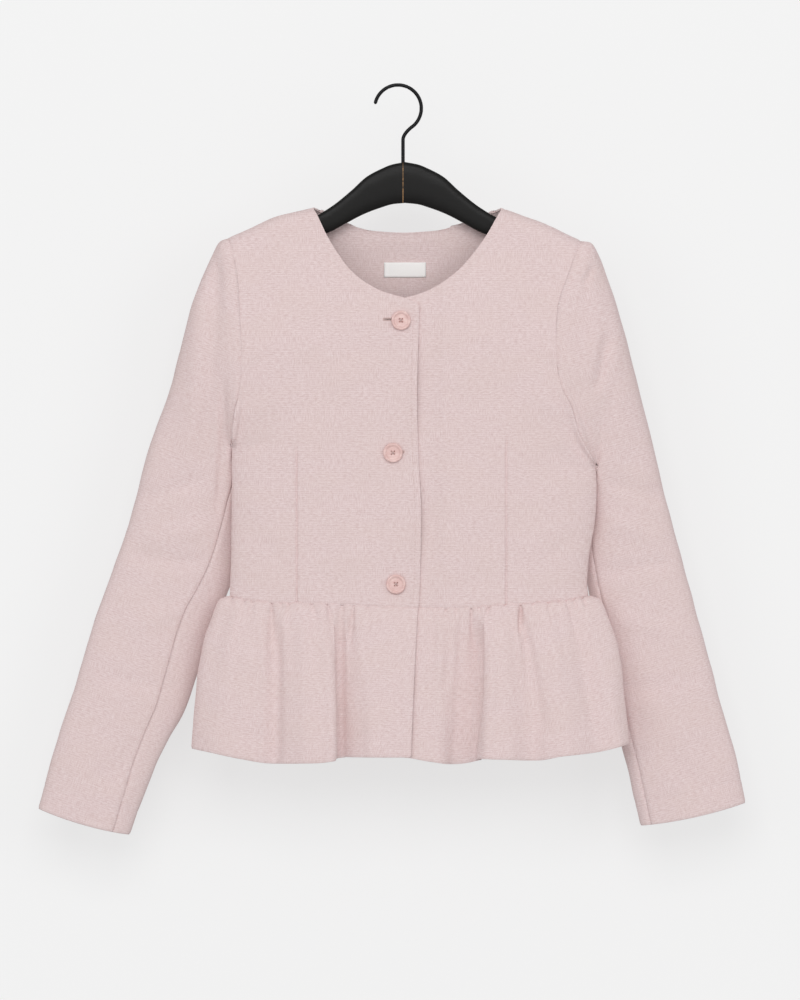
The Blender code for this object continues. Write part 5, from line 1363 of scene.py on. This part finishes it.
def tweed():
    """Slubby wool tweed: thick uneven wefts across, patches of warps, pale flecks.

    The eye sees a matt, hairy cloth with a soft sheen at grazing angles.
    """
    made, tree, surface = new_finish(
        "slubby_pink_wool_tweed", Roughness=0.92, Sheen_Weight=0.25, Sheen_Roughness=0.5,
        Sheen_Tint=colour("f3e6e2"), Specular_IOR_Level=0.2)
    place = node(tree, "ShaderNodeAttribute", output="Vector", attribute_name="weave")
    # Rows of weft wander a little as they cross the cloth
    row = node(tree, "ShaderNodeSeparateXYZ", {0: place}, 1)
    drift = grain(tree, place, (20.0, 20.0, 1.0))
    row = node(tree, "ShaderNodeMath", {0: drift, 1: 1.6, 2: row}, operation="MULTIPLY_ADD")
    turn = node(tree, "ShaderNodeMath", {0: row, 1: 2 * math.pi / WEFT_SPACING},
                operation="MULTIPLY")
    line = node(tree, "ShaderNodeMath", {0: turn}, operation="SINE")
    # Slubs of weft are about 4 mm long and 1.6 mm thick, those of warp 7 mm and 1 mm
    weft = grain(tree, place, (4.17, 1.61, 1.0), 3.0, 0.6)
    warp = grain(tree, place, (1.0, 7.14, 1.0), 2.0, 0.55)
    cross = grain(tree, place, (0.833, 0.833, 1.0), 3.0, 0.7)
    patches = grain(tree, place, (28.6, 20.0, 1.0), levels=(0.45, 0.62), to=(0.1, 0.8))
    relief = node(tree, "ShaderNodeMix", {0: patches, 2: weft, 3: warp})
    for pattern, share in ((cross, 0.55), (line, 0.05)):
        relief = node(tree, "ShaderNodeMath", {0: pattern, 1: share, 2: relief},
                      operation="MULTIPLY_ADD")
    # The colour follows the relief and is darker where it is low: partly the slubby yarns' own
    # tone, partly painted shade in the hollows of the weave
    tone = node(tree, "ShaderNodeMapRange", {"Value": relief, "From Min": 0.45,
                                             "From Max": 1.05}, interpolation_type="SMOOTHSTEP")
    tint = grain(tree, place, (50.0, 33.3, 1.0), levels=(0.35, 0.65), to=(0.0, 0.14))
    fleck = grain(tree, place, (1.25, 1.11, 1.0), 1.0, 0.4, (0.67, 0.75), (0.0, 0.75))
    shade = grain(tree, place, (1.43, 0.769, 1.0), 1.0, 0.5, (0.68, 0.78), (0.0, 0.3))
    base = layered(tree, "d5bbb9", (tone, "ecdada"), (tint, "e0cbc3"), (fleck, "f7eeec"),
                   (shade, "c0a09c"))
    feed(tree, surface, base, relief, 0.6, 0.0004)
    return made


def thread(name, pale, dark):
    """Twisted sewing thread: matt, with a faint mottle of its plies."""
    made, tree, surface = new_finish(name, Roughness=0.8, Sheen_Weight=0.2)
    tone = grain(tree, in_millimetres(tree), (0.385, 0.385, 0.385))
    feed(tree, surface, layered(tree, dark, (tone, pale)), tone, 0.5, 0.0001)
    return made


def resin():
    """Cast resin of the buttons, tumbled to a satin, with a faint cloud of paler pink."""
    made, tree, surface = new_finish("satin_pink_cast_resin", Roughness=0.42,
                                     Coat_Weight=0.15, Coat_Roughness=0.35)
    place = in_millimetres(tree)
    cloud = grain(tree, place, (6.25, 6.25, 3.33), 3.0, levels=(0.35, 0.7))
    fine = grain(tree, place, (0.333, 0.333, 0.333))
    feed(tree, surface, layered(tree, "e0bbb6", (cloud, "edcec9")), fine, 0.2, 0.00005,
         (fine, 0.3, 0.7, 0.38, 0.5))
    return made


def tape():
    """Fine white woven tape, bare: matt, with close even rows."""
    made, tree, surface = new_finish("bare_white_woven_tape", Roughness=0.7, Sheen_Weight=0.1)
    place = in_millimetres(tree)
    row = node(tree, "ShaderNodeSeparateXYZ", {0: place}, 2)
    turn = node(tree, "ShaderNodeMath", {0: row, 1: 2 * math.pi / TAPE_SPACING},
                operation="MULTIPLY")
    line = node(tree, "ShaderNodeMath", {0: turn}, operation="SINE")
    fine = grain(tree, place, (0.833, 0.833, 0.2))
    relief = node(tree, "ShaderNodeMath", {0: line, 1: 0.25, 2: fine},
                  operation="MULTIPLY_ADD")
    feed(tree, surface, layered(tree, "faf6f2", (fine, "ffffff")), relief, 0.4, 0.0001)
    return made


def lacquer():
    """Black satin lacquer on wood, with long faint grain and small flecks of wear."""
    made, tree, surface = new_finish(
        "black_satin_lacquered_wood", Roughness=0.4, Coat_Weight=0.08, Coat_Roughness=0.18,
        Specular_IOR_Level=0.14)
    place = in_millimetres(tree)
    fibres = grain(tree, place, (20.0, 1.25, 1.11), 4.0, 0.6)
    rub = grain(tree, place, (2.0, 2.0, 2.0), 5.0, 0.75, (0.68, 0.8), (0.0, 0.5))
    # The glued joint of the two halves shows as a thin, broken line of bare wood
    across = node(tree, "ShaderNodeSeparateXYZ", {0: place})
    from_joint = node(tree, "ShaderNodeMath", {0: across, 1: SHANK_X}, operation="SUBTRACT")
    away = node(tree, "ShaderNodeMath", {0: from_joint}, operation="ABSOLUTE")
    worn = grain(tree, place, (10.0, 10.0, 3.33), 3.0, 0.5, (0.38, 0.6), (0.25, 1.0))
    near = node(tree, "ShaderNodeMapRange",
                {"Value": away, "From Min": 0.25, "From Max": 0.6, "To Min": 0.85,
                 "To Max": 0.0}, interpolation_type="SMOOTHSTEP")
    joint = node(tree, "ShaderNodeMath", {0: worn, 1: near}, operation="MULTIPLY")
    base = layered(tree, "0d0c0c", (fibres, "191817"), (rub, "34302d"), (joint, "a9825a"))
    feed(tree, surface, base, fibres, 0.35, 0.0002, (fibres, 0.2, 0.8, 0.38, 0.56))
    return made


def wire():
    """Black plated steel wire: dark and smooth, with fine drawing lines along it."""
    made, tree, surface = new_finish("black_plated_steel_wire", Roughness=0.24, Metallic=0.6,
                                     Specular_IOR_Level=0.3)
    lines = grain(tree, in_millimetres(tree), (0.455, 0.455, 4.0), 3.0)
    feed(tree, surface, layered(tree, "0e0e0f", (lines, "1d1d20")),
         rough=(lines, 0.3, 0.7, 0.18, 0.3))
    return made


def see_through_behind(made):
    """Let the wall be looked through from its back."""
    tree = made.node_tree
    facing = node(tree, "ShaderNodeNewGeometry", output="Backfacing")
    both = node(tree, "ShaderNodeMixShader",
                {0: facing, 1: tree.nodes["Principled BSDF"].outputs[0],
                 2: node(tree, "ShaderNodeBsdfTransparent")})
    tree.links.new(both, tree.nodes["Material Output"].inputs["Surface"])


# Stage

def add_wall():
    """Pale wall close behind the jacket, which only the camera sees and which takes shadows."""
    paint, _, _ = new_finish("pale_matt_wall_paint", Base_Color=colour(WALL_CODE),
                             Roughness=1.0, Emission_Color=(1.0, 1.0, 1.0, 1.0),
                             Emission_Strength=WALL_GLOW)
    see_through_behind(paint)
    half_width, half_height = WALL_REACH
    corners = [(x * half_width, WALL_Y, z * half_height)
               for x, z in ((-1, -1), (1, -1), (1, 1), (-1, 1))]
    mesh = bpy.data.meshes.new("backdrop_wall")
    mesh.from_pydata(corners, [], [(0, 1, 2, 3)])
    mesh.materials.append(paint)
    made = bpy.data.objects.new("backdrop_wall", mesh)
    bpy.context.scene.collection.objects.link(made)
    made.visible_diffuse = made.visible_glossy = made.visible_shadow = False


def add_stage():
    """The wall, an evenly lit room, soft lights from in front, and the camera."""
    add_wall()
    world = bpy.data.worlds.new("even_pale_room")
    bpy.context.scene.world = world
    world.use_nodes = True
    background = world.node_tree.nodes["Background"]
    background.inputs["Color"].default_value = (1.0, 1.0, 1.0, 1.0)
    background.inputs["Strength"].default_value = WORLD_LIGHT
    for number, (place_at, size, power) in enumerate(LIGHTS):
        lamp = bpy.data.lights.new(f"soft_light_{number}", "AREA")
        lamp.size, lamp.energy = size, power
        made = bpy.data.objects.new(lamp.name, lamp)
        made.location = place_at
        aim = Vector((0.0, 0.0, CAMERA_AT[2])) - Vector(place_at)
        made.rotation_euler = aim.to_track_quat("-Z", "Y").to_euler()
        bpy.context.scene.collection.objects.link(made)
    camera = bpy.data.cameras.new("front")
    camera.lens = SENSOR * -CAMERA_AT[1] / VIEW_HEIGHT
    camera.sensor_width = SENSOR
    seen = bpy.data.objects.new("front", camera)
    seen.location = CAMERA_AT
    seen.rotation_euler = (math.pi / 2, 0.0, 0.0)
    bpy.context.scene.collection.objects.link(seen)
    bpy.context.scene.camera = seen
    bpy.context.scene.view_settings.view_transform = "Standard"


# The part

def main():
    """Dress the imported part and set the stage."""
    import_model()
    wool = tweed()
    sewing = thread("tonal_sewing_thread", "e2cfca", "c4a9a4")
    edging = thread("buttonhole_twist", "dcc5c1", "c3a5a0")
    # Dark finish of the buttonholes' slits: painted shade, not a colour of the cloth
    dark, _, _ = new_finish("painted_shade_in_buttonhole_slit", Base_Color=colour("4a3431"),
                            Roughness=0.9)
    right = add_front("right", 1, (SIDE_RIGHT, UNDERARM_RIGHT, SHOULDER_RIGHT, NECK_RIGHT,
                                   EDGE_RIGHT, DART_RIGHT), CREASES_RIGHT, wool)
    left = add_front("left", -1, (SIDE_LEFT, UNDERARM_LEFT, SHOULDER_LEFT, NECK_LEFT,
                                  EDGE_LEFT, DART_LEFT), CREASES_LEFT, wool)
    back = add_back(wool)
    add_sleeve("right", 1, (SIDE_RIGHT, UNDERARM_RIGHT, OUTER_RIGHT, INNER_RIGHT, SEAM_RIGHT),
               CREASES_SLEEVE_RIGHT, CREASES_SLEEVE_RIGHT_BACK, wool)
    add_sleeve("left", -1, (SIDE_LEFT, UNDERARM_LEFT, OUTER_LEFT, INNER_LEFT, SEAM_LEFT),
               CREASES_SLEEVE_LEFT, CREASES_SLEEVE_LEFT_BACK, wool)
    add_peplum("front_right", FOLDS_FRONT_RIGHT, PUCKERS_RIGHT, CREASES_PEPLUM_RIGHT,
               OVERLAPS_RIGHT, wool)
    add_peplum("front_left", FOLDS_FRONT_LEFT, PUCKERS_LEFT, CREASES_PEPLUM_LEFT,
               OVERLAPS_LEFT, wool)
    add_peplum("back", back_folds(), PUCKERS_BACK, CREASES_PEPLUM_BACK, OVERLAPS_BACK,
               wool)
    front = Surface(right)
    finish = resin()
    for name, (x, z) in BUTTONS.items():
        add_button(name, front, x, z, finish, edging)
    for name, (first, last, z) in BUTTONHOLES.items():
        add_buttonhole(name, front, first, last, z, edging, dark)
    rows = [(smooth(EDGE_RIGHT, h) - EDGE_PRESSED[0], h) for h in np.linspace(*EDGE_STITCHED, 60)]
    stitch_row("edge_stitches_front", front, rows, *EDGE_STITCH, sewing)
    add_label(Surface(back), tape(), sewing)
    add_hanger(lacquer())
    add_hook(wire())
    add_stage()


main()
